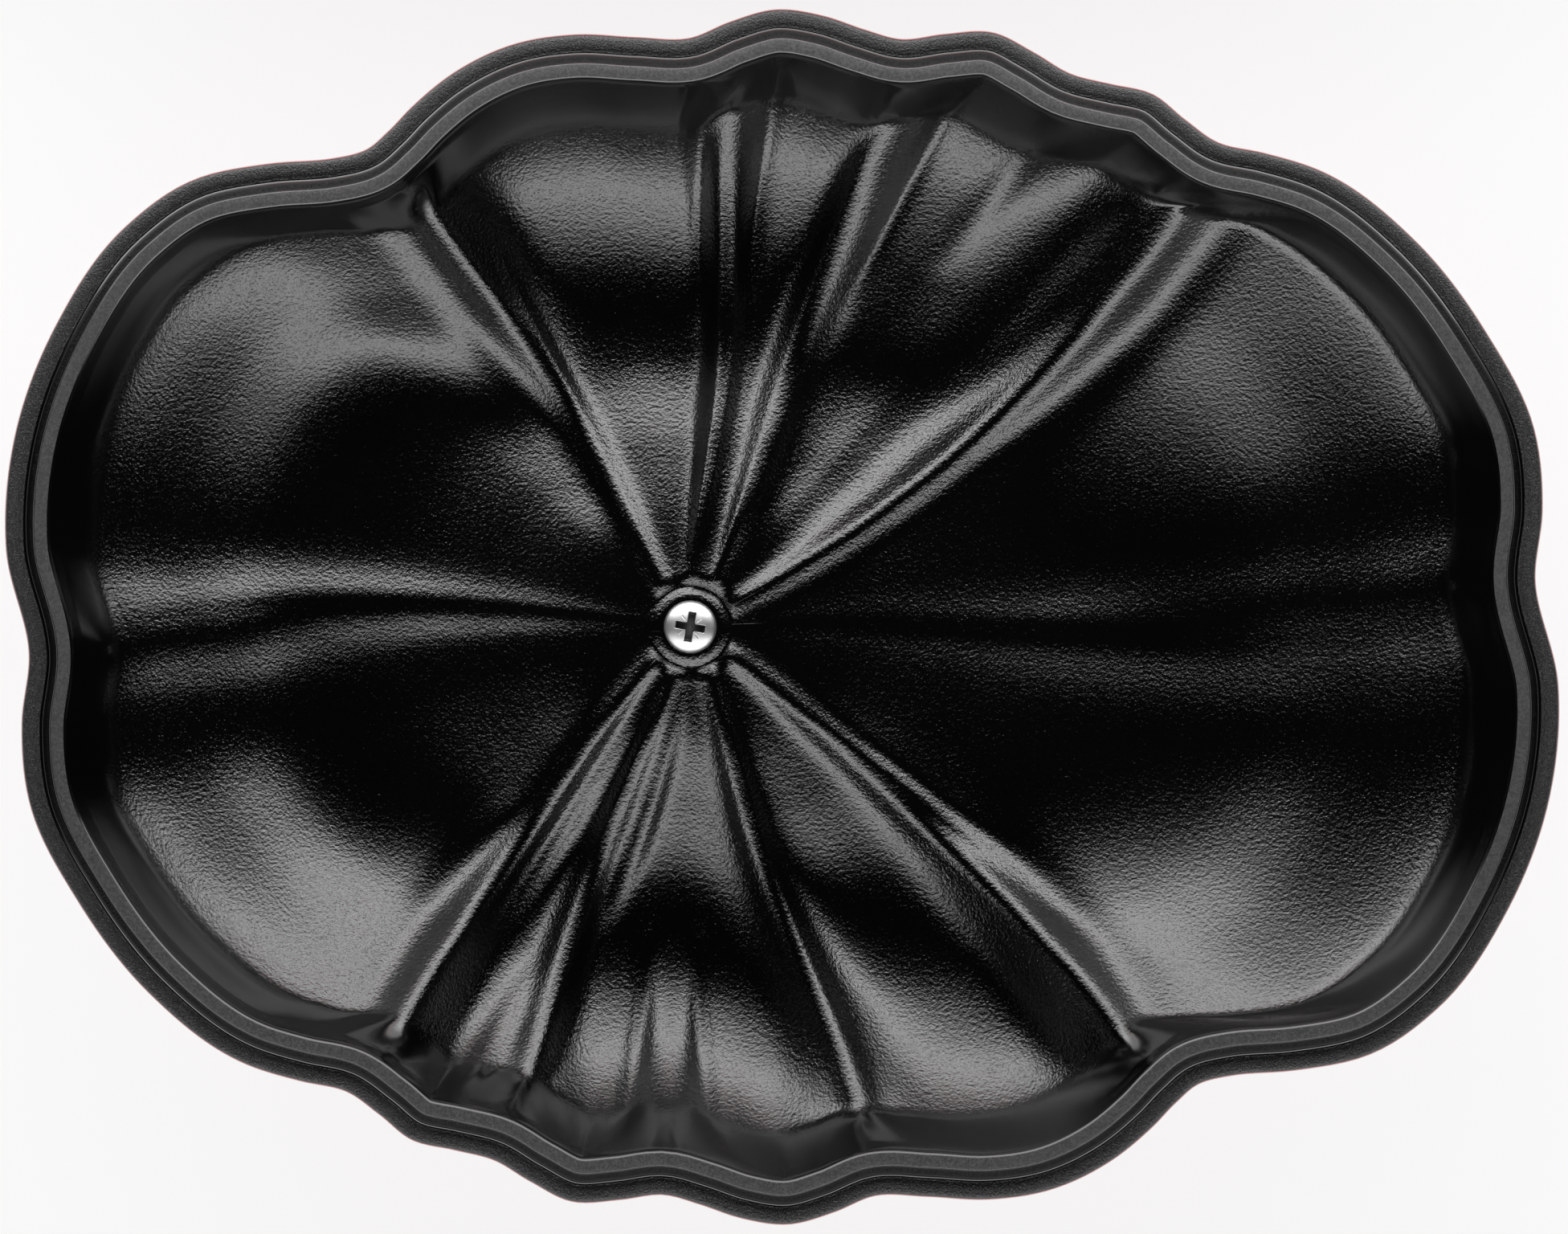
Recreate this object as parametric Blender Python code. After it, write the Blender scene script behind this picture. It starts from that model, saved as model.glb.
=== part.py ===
"""Cast cocotte with a lobed, oval rim: pot with two loop handles, lid turned over, stem knob and screw.

The lid lies in front of the pot with its inside up, standing on its knob. It turns half a turn about a
line between the two and then closes the pot. Sizes are in millimetres, and closed_mesh() makes them
metres. Heights in the lid are measured from its seat, up towards the open side.
"""

import math

import bmesh
import bpy
import numpy as np
from mathutils import Matrix, Vector

MM = 0.001
# Edges sharper than this many degrees stay sharp where a piece is shaded smooth
SHARP_ANGLE = 40.0

# Gap that pieces which touch keep between them
SEAT_GAP = 0.3

# Rim outline, which the lid and the pot share
RIM_LENGTH = 250.0
RIM_WIDTH = 196.0
# Angle in degrees round the middle, and distance from it, for half a turn. The other half is the same
# again, so the lid fits either way round. Each line runs from one notch to the next.
RIM_POINTS = (
    (3.0, 121.4), (8.0, 123.6), (14.0, 124.8), (22.0, 122.3), (31.0, 118.5), (40.0, 112.4), (44.0, 107.8),
    (47.3, 104.0), (51.0, 103.2), (54.8, 103.3), (58.5, 100.9),
    (62.0, 99.2), (66.0, 99.7), (70.3, 100.2), (74.5, 97.6),
    (78.3, 95.2), (82.0, 95.7), (86.0, 97.2), (90.7, 98.0), (95.0, 96.4),
    (99.0, 94.6), (104.0, 96.4), (109.5, 99.7), (115.0, 102.0), (121.0, 102.5), (126.0, 101.6),
    (129.0, 100.8), (131.7, 100.9), (134.5, 103.7), (138.5, 110.4), (143.0, 117.7), (149.0, 122.9),
    (158.0, 126.0), (167.0, 126.9), (175.0, 125.4),
)
RIM_SAMPLES = 1440

# Section of the lid's rim: distances in from the outline, and heights over the seat
FLANGE_ROUND = 0.6
FLANGE_EDGE = 2.4
SEAT_WIDTH = 3.0
SKIRT_HEIGHT = 3.0
SKIRT_OUTSIDE = 5.0
SKIRT_INSIDE = 7.2
SKIRT_BEVEL = 0.4
FOOT_INSET = 14.5
# Outside of the lid below its flange: distance in from the outline, and depth below the seat
SHOULDER = ((0.5, 4.2), (2.3, 8.4), (5.6, 12.6), (10.0, 16.2))

# Stem axis, where the creases of the lid meet, from the middle of the rim
STEM_X = -14.9
STEM_Y = -1.6
BOSS_DEPTH = 16.0
BOSS_FLAT = 5.3
BOSS_RADIUS = 7.2
KNOB_SEAT_DEPTH = 23.5
KNOB_SEAT_RADIUS = 8.8
SCREW_HOLE = 2.8

# Shares of the way from the boss to the foot of the wall at which depths below the seat are given
STATIONS = (0.0, 0.15, 0.3, 0.5, 0.7, 0.85, 1.0)
# Each crest: its angle at the boss, a third out, two thirds out and at the wall, its depths, the height
# and half width of the roll along it, then its clockwise and its anticlockwise flank, each as the half
# width of the ledge beside the roll and the reach of the slope below it
CRESTS = (
    ((3.5, 0.0, -1.0, 1.5), (17.0, 17.6, 19.2, 21.3, 22.2, 19.0, 12.0),
     (0.5, 1.5), (1.5, 8.0), (1.0, 7.0)),
    ((33.5, 32.0, 37.0, 41.0), (17.0, 17.0, 17.4, 18.4, 17.6, 15.0, 10.5),
     (1.1, 1.7), (1.5, 17.0), (3.0, 6.0)),
    ((66.0, 68.0, 70.0, 75.5), (17.0, 17.8, 21.0, 23.8, 21.3, 17.0, 11.0),
     (0.0, 1.5), (1.6, 4.0), (1.6, 4.0)),
    ((80.0, 79.5, 83.5, 89.0), (17.0, 17.2, 18.6, 21.0, 19.8, 16.2, 10.6),
     (0.0, 1.5), (1.5, 5.0), (1.5, 7.0)),
    ((120.5, 119.5, 122.3, 123.5), (17.0, 17.1, 17.7, 18.8, 18.0, 15.4, 10.5),
     (1.3, 1.7), (4.2, 8.0), (0.8, 8.0)),
    ((173.0, 174.8, 177.0, 180.0), (17.0, 17.6, 19.2, 21.2, 21.8, 18.6, 11.6),
     (0.5, 1.5), (0.8, 5.0), (0.8, 8.0)),
    ((227.0, 230.5, 232.0, 233.0), (17.0, 17.1, 17.7, 18.8, 18.0, 15.4, 10.5),
     (1.3, 1.7), (0.8, 15.0), (4.0, 5.0)),
    ((262.0, 256.0, 252.0, 252.0), (17.0, 18.0, 21.6, 25.0, 22.4, 17.6, 11.4),
     (0.0, 1.5), (0.8, 4.0), (0.8, 4.0)),
    ((292.0, 287.0, 288.5, 289.5), (17.0, 17.1, 18.4, 20.6, 19.6, 16.2, 10.8),
     (1.1, 1.5), (3.5, 5.0), (0.8, 6.0)),
    ((316.0, 320.5, 319.5, 317.0), (17.0, 17.0, 17.4, 18.4, 17.6, 15.0, 10.5),
     (1.3, 1.8), (4.5, 7.0), (0.8, 9.0)),
)
# Each hollow, after the crest in the same place above: its depths, and the columns of faces across it
HOLLOWS = (
    ((17.8, 18.8, 21.6, 24.6, 25.8, 22.4, 14.6), 11),
    ((17.6, 18.4, 22.8, 26.8, 24.4, 20.0, 13.2), 12),
    ((17.4, 18.4, 22.2, 25.6, 23.2, 18.8, 13.0), 8),
    ((17.8, 18.8, 22.4, 26.4, 24.6, 20.2, 13.4), 11),
    ((18.0, 19.2, 22.0, 25.6, 26.6, 22.8, 14.8), 13),
    ((18.0, 19.2, 22.0, 25.6, 26.6, 22.8, 14.8), 12),
    ((17.8, 18.8, 22.8, 26.6, 24.4, 20.0, 13.2), 8),
    ((17.6, 18.8, 23.4, 27.0, 24.4, 20.0, 13.2), 14),
    ((17.8, 18.8, 22.8, 27.0, 25.2, 20.6, 13.4), 9),
    ((18.0, 18.9, 21.6, 25.0, 26.4, 22.8, 14.8), 10),
)
# Softness of a ledge's edge, and how full the slope below it is
FLANK_SOFT = 1.5
FLANK_FULLNESS = 1.4
# Flanks are as wide as given at this distance from the stem, and narrower towards it by a power of it
FLANK_RADIUS = 80.0
FLANK_GROWTH = 0.8
FLANK_NEAREST = 12.0
# Share by which a hollow's columns draw together beside its crests
COLUMN_CROWDING = 0.6
# Small ribs in the hollows: angle where each starts and ends, share of the way out where it starts and
# ends, height, half width
RIBS = (
    ((63.5, 64.0), (0.50, 1.10), 1.7, 2.4),
    ((54.5, 55.5), (0.80, 1.20), 1.2, 3.0),
    ((256.0, 248.0), (-0.05, 0.60), 0.9, 1.8),
    ((262.2, 262.2), (0.50, 1.15), 2.0, 2.4),
    ((271.3, 271.3), (0.50, 1.15), 1.8, 2.2),
)
# Wall: how far across and how far up it has come at the ring between its foot and its top
WALL_ACROSS = 0.62
WALL_UP = 0.39
# Casting's thickness at the hollows, and the share of its crests' height that its outside shows
LID_WALL = 4.6
OUTSIDE_KEEP = 0.85
RELIEF_RINGS = (0.07, 0.16, 0.27, 0.39, 0.51, 0.63, 0.75, 0.86, 0.94, 1.0)
OUTSIDE_RINGS = (0.12, 0.25, 0.40, 0.55, 0.70, 0.84, 0.95)

# Stem knob, turned about the stem axis: radii, and heights up from the face that meets the lid
KNOB_HEIGHT = 30.0
KNOB_END_RADIUS = 8.6
KNOB_HEAD_RADIUS = 11.0
KNOB_HEAD_TOP_RADIUS = 10.5
KNOB_HEAD_TOP = 28.2
KNOB_HEAD_HEIGHT = 25.5
KNOB_FLARE_RADIUS = 8.0
KNOB_FLARE_HEIGHT = 19.8
KNOB_NECK_RADIUS = 7.2
KNOB_NECK_HEIGHT = 14.0
KNOB_ROOT_RADIUS = 7.9
KNOB_ROOT_HEIGHT = 5.6
KNOB_BORE_DEPTH = 13.0
KNOB_COLUMNS = 40
# Sepals round its foot: reach of the tips and of the notches between them, slope along the lid,
# thickness at both ends, and how narrow they are
SEPALS = 5
SEPAL_LENGTH = 26.0
SEPAL_NOTCH = 12.5
SEPAL_LIFT = 0.20
SEPAL_ROOT = 3.4
SEPAL_TIP = 1.5
SEPAL_TAPER = 1.3

# Screw with a cross recess
SCREW_RADIUS = 2.5
SCREW_REACH = 12.0
SCREW_POINT_RADIUS = 1.9
SCREW_POINT_LENGTH = 0.8
SCREW_HEAD_RADIUS = 4.25
SCREW_HEAD_SIDE = 1.2
SCREW_HEAD_HEIGHT = 2.6
SCREW_HEAD_EDGE_RADIUS = 3.65
SCREW_HEAD_EDGE_HEIGHT = 2.1
SCREW_HEAD_FLAT_RADIUS = 2.55
SCREW_COLUMNS = 24
RECESS_SPAN = 2.3
RECESS_ARM = 0.65
RECESS_DEPTH = 1.7
RECESS_TURN = -10.0
# How far the recess's cutter stands out of the head
CUT_OVERRUN = 1.0

# Pot
POT_HEIGHT = 98.0
POT_WALL = 4.5
POT_FLOOR = 5.5
POT_MOUTH_WALL = 3.4
POT_RIM_ROUND = 0.5
# Outside of the pot: share of the height, distance in from the rim's outline (less than nothing where
# it swells past it), and how far the lobes have faded into a plain oval
POT_SIDE = (
    (0.94, -0.6, 0.0), (0.80, -1.8, 0.05), (0.62, -1.6, 0.18), (0.44, 1.2, 0.35), (0.28, 7.0, 0.55),
    (0.15, 15.0, 0.75), (0.06, 24.0, 0.9), (0.02, 30.0, 0.97),
)
POT_FOOT_INSET = 33.0
OVAL_LENGTH = 242.0
OVAL_WIDTH = 194.0

# Loop handles at the pot's two ends: each bar leaves the wall square to it, at two roots
HANDLE_DROP = 15.0
HANDLE_SPREAD = 33.0
HANDLE_REACH = 157.0
HANDLE_ROOT_DEPTH = 2.0
HANDLE_WIDTH = 13.0
HANDLE_THICKNESS = 10.5
HANDLE_ROOT_RUN = 21.0
HANDLE_MIDDLE_RUN = 26.0
HANDLE_STEPS = 8
HANDLE_SIDES = 10
# Half of the wall, in degrees, that is searched for the roots, and samples in it on either side of a root
ROOT_SEARCH = 40.0
ROOT_SAMPLES = 321
ROOT_NEAR = 3

# Where the lid lies: room between the two rims, which the line it turns about halves
RIM_APART = 68.0


def curve_through(points, at, period=None):
    """Smooth curve through (place, value) points, read at each place in at; closed if period is given."""
    x = np.array([p[0] for p in points], float)
    y = np.array([p[1] for p in points], float)
    if period:
        at = (at - x[0]) % period + x[0]
        x = np.concatenate(([x[-1] - period], x, [x[0] + period, x[1] + period]))
        y = np.concatenate(([y[-1]], y, [y[0], y[1]]))
    slope = np.gradient(y, x)
    i = np.clip(np.searchsorted(x, at, side="right") - 1, 0, len(x) - 2)
    width = x[i + 1] - x[i]
    s = np.clip((at - x[i]) / width, 0.0, 1.0)
    start = y[i] * (1 + 2 * s) * (1 - s) ** 2 + slope[i] * width * s * (1 - s) ** 2
    end = y[i + 1] * s * s * (3 - 2 * s) + slope[i + 1] * width * s * s * (s - 1)
    return start + end


def rim_line():
    """Closed rim outline: points and outward normals, scaled so that its length and width are as named."""
    angle = np.arange(RIM_SAMPLES) * 360.0 / RIM_SAMPLES
    radius = curve_through(RIM_POINTS, angle, 180.0)
    turn = np.radians(angle)
    line = np.stack((radius * np.cos(turn), radius * np.sin(turn)), axis=1)
    line *= np.array([RIM_LENGTH, RIM_WIDTH]) / np.ptp(line, axis=0)
    ahead = np.roll(line, -1, axis=0) - np.roll(line, 1, axis=0)
    normal = np.stack((ahead[:, 1], -ahead[:, 0]), axis=1)
    normal /= np.linalg.norm(normal, axis=1)[:, None]
    return line, normal


RIM, RIM_NORMAL = rim_line()
MIDDLE = np.zeros(2)
STEM = np.array([STEM_X, STEM_Y])


def rim_at(angle, centre):
    """Rim points and normals that are seen at the given angles, in degrees, from centre."""
    seen = np.degrees(np.unwrap(np.arctan2(RIM[:, 1] - centre[1], RIM[:, 0] - centre[0])))
    table = np.column_stack((RIM, RIM_NORMAL))
    table = np.vstack((table, table[:1]))
    seen = np.append(seen, seen[0] + 360.0)
    wrapped = (angle - seen[0]) % 360.0 + seen[0]
    found = np.stack([np.interp(wrapped, seen, table[:, c]) for c in range(4)], axis=-1)
    return found[..., :2], found[..., 2:]


def inset(points, normals, distance):
    """Rim points moved inwards, square to the outline."""
    return points - normals * distance


def ring(points, height):
    """3-D ring from plan points and one height, or a height for each point."""
    return np.column_stack((points, np.broadcast_to(height, len(points))))


def round_ring(centre, radius, height, angle):
    """3-D ring on a circle, with its points at the given angles in degrees."""
    turn = np.radians(angle)
    return ring(centre + radius * np.stack((np.cos(turn), np.sin(turn)), axis=1), height)


def crest_angle(angles, way):
    """Angle of a crest at the given share of the way out: the cubic through its four angles."""
    stations = np.linspace(0.0, 1.0, len(angles))
    total = 0.0
    for i, angle in enumerate(angles):
        weight = 1.0
        for j, station in enumerate(stations):
            if j != i:
                weight = weight * (way - station) / (stations[i] - station)
        total = total + angle * weight
    return total


def lid_columns():
    """For each column of faces: the crest it follows and its share of the way to the next crest."""
    crest = []
    share = []
    for index, (_, count) in enumerate(HOLLOWS):
        even = np.arange(count) / count
        crest += [index] * count
        share += list(even - COLUMN_CROWDING * np.sin(2 * math.pi * even) / (2 * math.pi))
    return np.array(crest), np.array(share)


COLUMN_CREST, COLUMN_SHARE = lid_columns()


def column_angles(way):
    """Angle of every column, round the stem, at one share of the way out, and its hollow's whole angle."""
    lines = [crest_angle(angles, way) for angles, _, _, _, _ in CRESTS]
    lines.append(lines[0] + 360.0)
    lines = np.array(lines)
    here = lines[COLUMN_CREST]
    hollow_angle = lines[COLUMN_CREST + 1] - here
    return here + hollow_angle * COLUMN_SHARE, hollow_angle


def foot_radius(angle):
    """Distance from the stem to the foot of the lid's inside wall."""
    rim, _ = rim_at(angle, STEM)
    return np.linalg.norm(rim - STEM, axis=1) - FOOT_INSET


def flank(off, ledge, reach, radius):
    """Share of a crest's height that is left at a distance from its line: a ledge, then a bell-like fall."""
    grown = (np.maximum(radius, FLANK_NEAREST) / FLANK_RADIUS) ** FLANK_GROWTH
    beyond = np.maximum(off - ledge * grown, 0.0)
    beyond = np.hypot(beyond, FLANK_SOFT * grown) - FLANK_SOFT * grown
    return np.exp(-(beyond / (reach * grown)) ** FLANK_FULLNESS)


def relief_ring(way, outside):
    """Ring of the lid's hollows, raised towards the crests beside them, on its inside or its outside."""
    angle, hollow_angle = column_angles(way)
    radius = BOSS_RADIUS + (foot_radius(angle) - BOSS_RADIUS) * way
    width = np.radians(hollow_angle) * radius
    crests = np.array([curve_through(list(zip(STATIONS, row[1])), way) for row in CRESTS])
    floors = np.array([curve_through(list(zip(STATIONS, depths)), way) for depths, _ in HOLLOWS])
    floor = floors[COLUMN_CREST]
    before = COLUMN_CREST
    after = (COLUMN_CREST + 1) % len(CRESTS)
    rolls = np.array([row[2] for row in CRESTS])
    clockwise = np.array([row[3] for row in CRESTS])
    anticlockwise = np.array([row[4] for row in CRESTS])
    raised = 0.0
    flanks = ((before, COLUMN_SHARE, anticlockwise), (after, 1.0 - COLUMN_SHARE, clockwise))
    for crest, share, sides in flanks:
        ledge, reach = sides[crest].T
        height, half_width = rolls[crest].T
        near = flank(share * width, ledge, reach, radius) * (1.0 - share ** 4)
        raised = raised + (floor - crests[crest]) * near + height * np.exp(-(share * width / half_width) ** 2)
    for (start, end), (first, last), height, half_width in RIBS:
        along = (way - first) / (last - first)
        if 0.0 < along < 1.0:
            off = radius * np.radians((angle - (start + (end - start) * along) + 180.0) % 360.0 - 180.0)
            raised = raised + height * math.sin(math.pi * along) * np.exp(-(off / half_width) ** 2)
    depth = floor - raised
    if outside:
        depth = floor - OUTSIDE_KEEP * raised + LID_WALL
    turn = np.radians(angle)
    plan = STEM + radius[:, None] * np.stack((np.cos(turn), np.sin(turn)), axis=1)
    return ring(plan, -depth)


def closed_mesh(name, rings, caps, wrap=False):
    """Closed mesh from rings that follow each other, walked so that their faces point out.

    With wrap the last ring joins the first, round a hole. Otherwise caps says, for the first and the
    last ring, whether it ends in a flat face.
    """
    bm = bmesh.new()
    loops = [[bm.verts.new(Vector(p) * MM) for p in points] for points in rings]
    pairs = list(zip(loops, loops[1:]))
    if wrap:
        pairs.append((loops[-1], loops[0]))
    for near, far in pairs:
        count = len(near)
        for i in range(count):
            j = (i + 1) % count
            bm.faces.new((near[i], near[j], far[j], far[i]))
    if caps[0]:
        bm.faces.new(list(reversed(loops[0])))
    if caps[1]:
        bm.faces.new(loops[-1])
    bmesh.ops.recalc_face_normals(bm, faces=bm.faces)
    mesh = bpy.data.meshes.new(name)
    bm.to_mesh(mesh)
    bm.free()
    return mesh


def material(name, colour, roughness, metallic):
    """Plain surface of one colour."""
    made = bpy.data.materials.new(name)
    made.use_nodes = True
    shader = made.node_tree.nodes["Principled BSDF"]
    shader.inputs["Base Color"].default_value = (*colour, 1.0)
    shader.inputs["Roughness"].default_value = roughness
    shader.inputs["Metallic"].default_value = metallic
    return made


def place(name, mesh, surface):
    """Object in the scene, shaded smooth but for its sharp edges."""
    mesh.materials.append(surface)
    mesh.shade_smooth()
    mesh.set_sharp_from_angle(angle=math.radians(SHARP_ANGLE))
    made = bpy.data.objects.new(name, mesh)
    bpy.context.collection.objects.link(made)
    return made


def guide(name, mesh):
    """Object that only cuts or joins another, so that it is neither rendered nor built."""
    made = bpy.data.objects.new(name, mesh)
    bpy.context.collection.objects.link(made)
    made.hide_render = True
    made.display_type = "WIRE"
    return made


def boolean(target, tool, operation):
    """Exact boolean of tool with target, kept as a modifier."""
    step = target.modifiers.new(tool.name, "BOOLEAN")
    step.operation = operation
    step.solver = "EXACT"
    step.object = tool


def build_lid():
    """Lid casting: boss, hollows and crests, wall, locating skirt, seat and flange, lobed outside."""
    rim_angle, _ = column_angles(1.0)
    points, normals = rim_at(rim_angle, STEM)
    inside_angle, _ = column_angles(0.0)
    rings = [
        round_ring(STEM, SCREW_HOLE, -BOSS_DEPTH, inside_angle),
        round_ring(STEM, BOSS_FLAT, -BOSS_DEPTH, inside_angle),
        relief_ring(0.0, outside=False),
    ]
    rings += [relief_ring(way, outside=False) for way in RELIEF_RINGS]
    skirt_top = SKIRT_HEIGHT
    foot = rings[-1]
    wall_top = ring(inset(points, normals, SKIRT_INSIDE + SKIRT_BEVEL), skirt_top - 2 * SKIRT_BEVEL)
    rings += [
        foot + (wall_top - foot) * np.array([WALL_ACROSS, WALL_ACROSS, WALL_UP]),
        wall_top,
        ring(inset(points, normals, SKIRT_INSIDE), skirt_top),
        ring(inset(points, normals, SKIRT_OUTSIDE), skirt_top),
        ring(inset(points, normals, SEAT_WIDTH + SKIRT_BEVEL), SKIRT_BEVEL),
        ring(inset(points, normals, SEAT_WIDTH), 0.0),
        ring(inset(points, normals, FLANGE_ROUND), 0.0),
        ring(points, -FLANGE_ROUND),
        ring(points, -FLANGE_EDGE),
    ]
    rings += [ring(inset(points, normals, distance), -depth) for distance, depth in SHOULDER]
    rings += [relief_ring(way, outside=True) for way in reversed(OUTSIDE_RINGS)]
    rings += [
        round_ring(STEM, KNOB_SEAT_RADIUS, -KNOB_SEAT_DEPTH, inside_angle),
        round_ring(STEM, SCREW_HOLE, -KNOB_SEAT_DEPTH, inside_angle),
    ]
    mesh = closed_mesh("lid", rings, (False, False), wrap=True)
    return place("lid", mesh, material("black_enamel", (0.012, 0.012, 0.013), 0.35, 0.0))


def build_knob():
    """Stem knob: five sepals that lie in the lid's dimple, a neck, a flared head and a blind bore."""
    angle = np.arange(KNOB_COLUMNS) * 360.0 / KNOB_COLUMNS
    turn = np.radians(angle)
    petal = (0.5 + 0.5 * np.cos(SEPALS * turn)) ** SEPAL_TAPER
    reach = SEPAL_NOTCH + (SEPAL_LENGTH - SEPAL_NOTCH) * petal
    top = -KNOB_SEAT_DEPTH - SEAT_GAP

    def star(share, extra):
        radius = KNOB_SEAT_RADIUS + (reach - KNOB_SEAT_RADIUS) * share
        lift = SEPAL_LIFT * (radius - KNOB_SEAT_RADIUS) + extra
        return ring(STEM + radius[:, None] * np.stack((np.cos(turn), np.sin(turn)), axis=1), top - lift)

    def turned(radius, height):
        return round_ring(STEM, radius, top - height, angle)

    rings = [
        turned(SCREW_HOLE, KNOB_BORE_DEPTH),
        turned(SCREW_HOLE, 0.0),
        star(0.0, 0.0),
        star(0.5, 0.0),
        star(1.0, 0.0),
        star(1.0, SEPAL_TIP),
        star(0.5, 0.5 * (SEPAL_TIP + SEPAL_ROOT)),
        star(0.0, SEPAL_ROOT),
        turned(KNOB_ROOT_RADIUS, KNOB_ROOT_HEIGHT),
        turned(KNOB_NECK_RADIUS, KNOB_NECK_HEIGHT),
        turned(KNOB_FLARE_RADIUS, KNOB_FLARE_HEIGHT),
        turned(KNOB_HEAD_RADIUS, KNOB_HEAD_HEIGHT),
        turned(KNOB_HEAD_TOP_RADIUS, KNOB_HEAD_TOP),
        turned(KNOB_END_RADIUS, KNOB_HEIGHT),
    ]
    mesh = closed_mesh("knob", rings, (True, True))
    return place("knob", mesh, material("nickel", (0.62, 0.6, 0.56), 0.22, 1.0))


def cross_prism(name, centre, low, high):
    """Four-armed prism, for the recess in the screw's head."""
    corners = []
    for quarter in range(4):
        for x, y in ((RECESS_ARM, RECESS_ARM), (RECESS_ARM, RECESS_SPAN), (-RECESS_ARM, RECESS_SPAN)):
            turn = math.radians(90.0 * quarter + RECESS_TURN)
            corners.append((x * math.cos(turn) - y * math.sin(turn), x * math.sin(turn) + y * math.cos(turn)))
    plan = centre + np.array(corners)
    return closed_mesh(name, [ring(plan, low), ring(plan, high)], (True, True))


def build_screw():
    """Pan-head screw through the lid's boss into the knob, with its cross recess facing the open side."""
    angle = np.arange(SCREW_COLUMNS) * 360.0 / SCREW_COLUMNS
    under_head = -BOSS_DEPTH + SEAT_GAP
    tip = -KNOB_SEAT_DEPTH - SEAT_GAP - SCREW_REACH
    head_top = under_head + SCREW_HEAD_HEIGHT

    def turned(radius, height):
        return round_ring(STEM, radius, height, angle)

    rings = [
        turned(SCREW_POINT_RADIUS, tip),
        turned(SCREW_RADIUS, tip + SCREW_POINT_LENGTH),
        turned(SCREW_RADIUS, under_head),
        turned(SCREW_HEAD_RADIUS, under_head),
        turned(SCREW_HEAD_RADIUS, under_head + SCREW_HEAD_SIDE),
        turned(SCREW_HEAD_EDGE_RADIUS, under_head + SCREW_HEAD_EDGE_HEIGHT),
        turned(SCREW_HEAD_FLAT_RADIUS, head_top),
    ]
    mesh = closed_mesh("knob_screw", rings, (True, True))
    screw = place("knob_screw", mesh, material("steel", (0.75, 0.75, 0.76), 0.25, 1.0))
    recess = cross_prism("recess_cutter", STEM, head_top - RECESS_DEPTH, head_top + CUT_OVERRUN)
    cutter = guide("recess_cutter", recess)
    boolean(screw, cutter, "DIFFERENCE")
    return screw, cutter


def pot_plan(rim, distance, fade):
    """Plan of the pot at one level: the rim's points turned over, set in, and faded into an oval."""
    points, normals = rim
    near = min(distance, SEAT_WIDTH)
    points = inset(points, normals, near)
    radius = np.linalg.norm(points, axis=1)
    bearing = np.arctan2(-points[:, 1], points[:, 0])
    oval = 1.0 / np.hypot(2 * np.cos(bearing) / OVAL_LENGTH, 2 * np.sin(bearing) / OVAL_WIDTH)
    radius = radius + (oval - near - radius) * fade - (distance - near)
    return radius[:, None] * np.stack((np.cos(bearing), np.sin(bearing)), axis=1)


def wall_root(across):
    """Point of the pot's right end at the handles' height with the given y, and the wall's normal there."""
    share = 1.0 - HANDLE_DROP / POT_HEIGHT
    swell = np.interp(-share, [-s for s, _, _ in POT_SIDE], [d for _, d, _ in POT_SIDE])
    fade = np.interp(-share, [-s for s, _, _ in POT_SIDE], [f for _, _, f in POT_SIDE])
    wall = pot_plan(rim_at(np.linspace(ROOT_SEARCH, -ROOT_SEARCH, ROOT_SAMPLES), MIDDLE), swell, fade)
    root = np.array([np.interp(across, wall[:, 1], wall[:, 0]), across])
    nearest = np.searchsorted(wall[:, 1], across)
    ahead = wall[nearest + ROOT_NEAR] - wall[nearest - ROOT_NEAR]
    normal = np.array([ahead[1], -ahead[0]])
    return root, normal / np.linalg.norm(normal)


def bezier(start, start_pull, end_pull, end, steps):
    """Points along a cubic curve from start to end, without the last one."""
    s = (np.arange(steps) / steps)[:, None]
    near = (1 - s) ** 3 * start + 3 * s * (1 - s) ** 2 * start_pull
    return near + 3 * s ** 2 * (1 - s) * end_pull + s ** 3 * end


def handle_bar(name, side):
    """Bar of one handle, from root to root, its ends square to the pot's wall and sunk into it.

    The left end of the pot is its right end after half a turn, and so is the handle: side is 1 or -1.
    """
    upper, upper_normal = wall_root(HANDLE_SPREAD)
    lower, lower_normal = wall_root(-HANDLE_SPREAD)
    middle = np.array([HANDLE_REACH - 0.5 * HANDLE_WIDTH, 0.0])
    pull = np.array([0.0, HANDLE_MIDDLE_RUN])
    start = upper - upper_normal * HANDLE_ROOT_DEPTH
    end = lower - lower_normal * HANDLE_ROOT_DEPTH
    path = np.vstack((
        bezier(start, upper + upper_normal * HANDLE_ROOT_RUN, middle + pull, middle, HANDLE_STEPS),
        bezier(middle, middle - pull, lower + lower_normal * HANDLE_ROOT_RUN, end, HANDLE_STEPS),
        end,
    ))
    ahead = np.gradient(path, axis=0)
    ahead[0] = upper_normal
    ahead[-1] = -lower_normal
    ahead /= np.linalg.norm(ahead, axis=1)[:, None]
    square = np.stack((ahead[:, 1], -ahead[:, 0]), axis=1)
    turn = np.radians(np.arange(HANDLE_SIDES) * 360.0 / HANDLE_SIDES)
    height = POT_HEIGHT - HANDLE_DROP + 0.5 * HANDLE_THICKNESS * np.sin(turn)
    rings = []
    for point, across in zip(path, square):
        plan = point + 0.5 * HANDLE_WIDTH * np.cos(turn)[:, None] * across
        rings.append(ring(side * plan, height))
    return closed_mesh(name, rings, (True, True))


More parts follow.
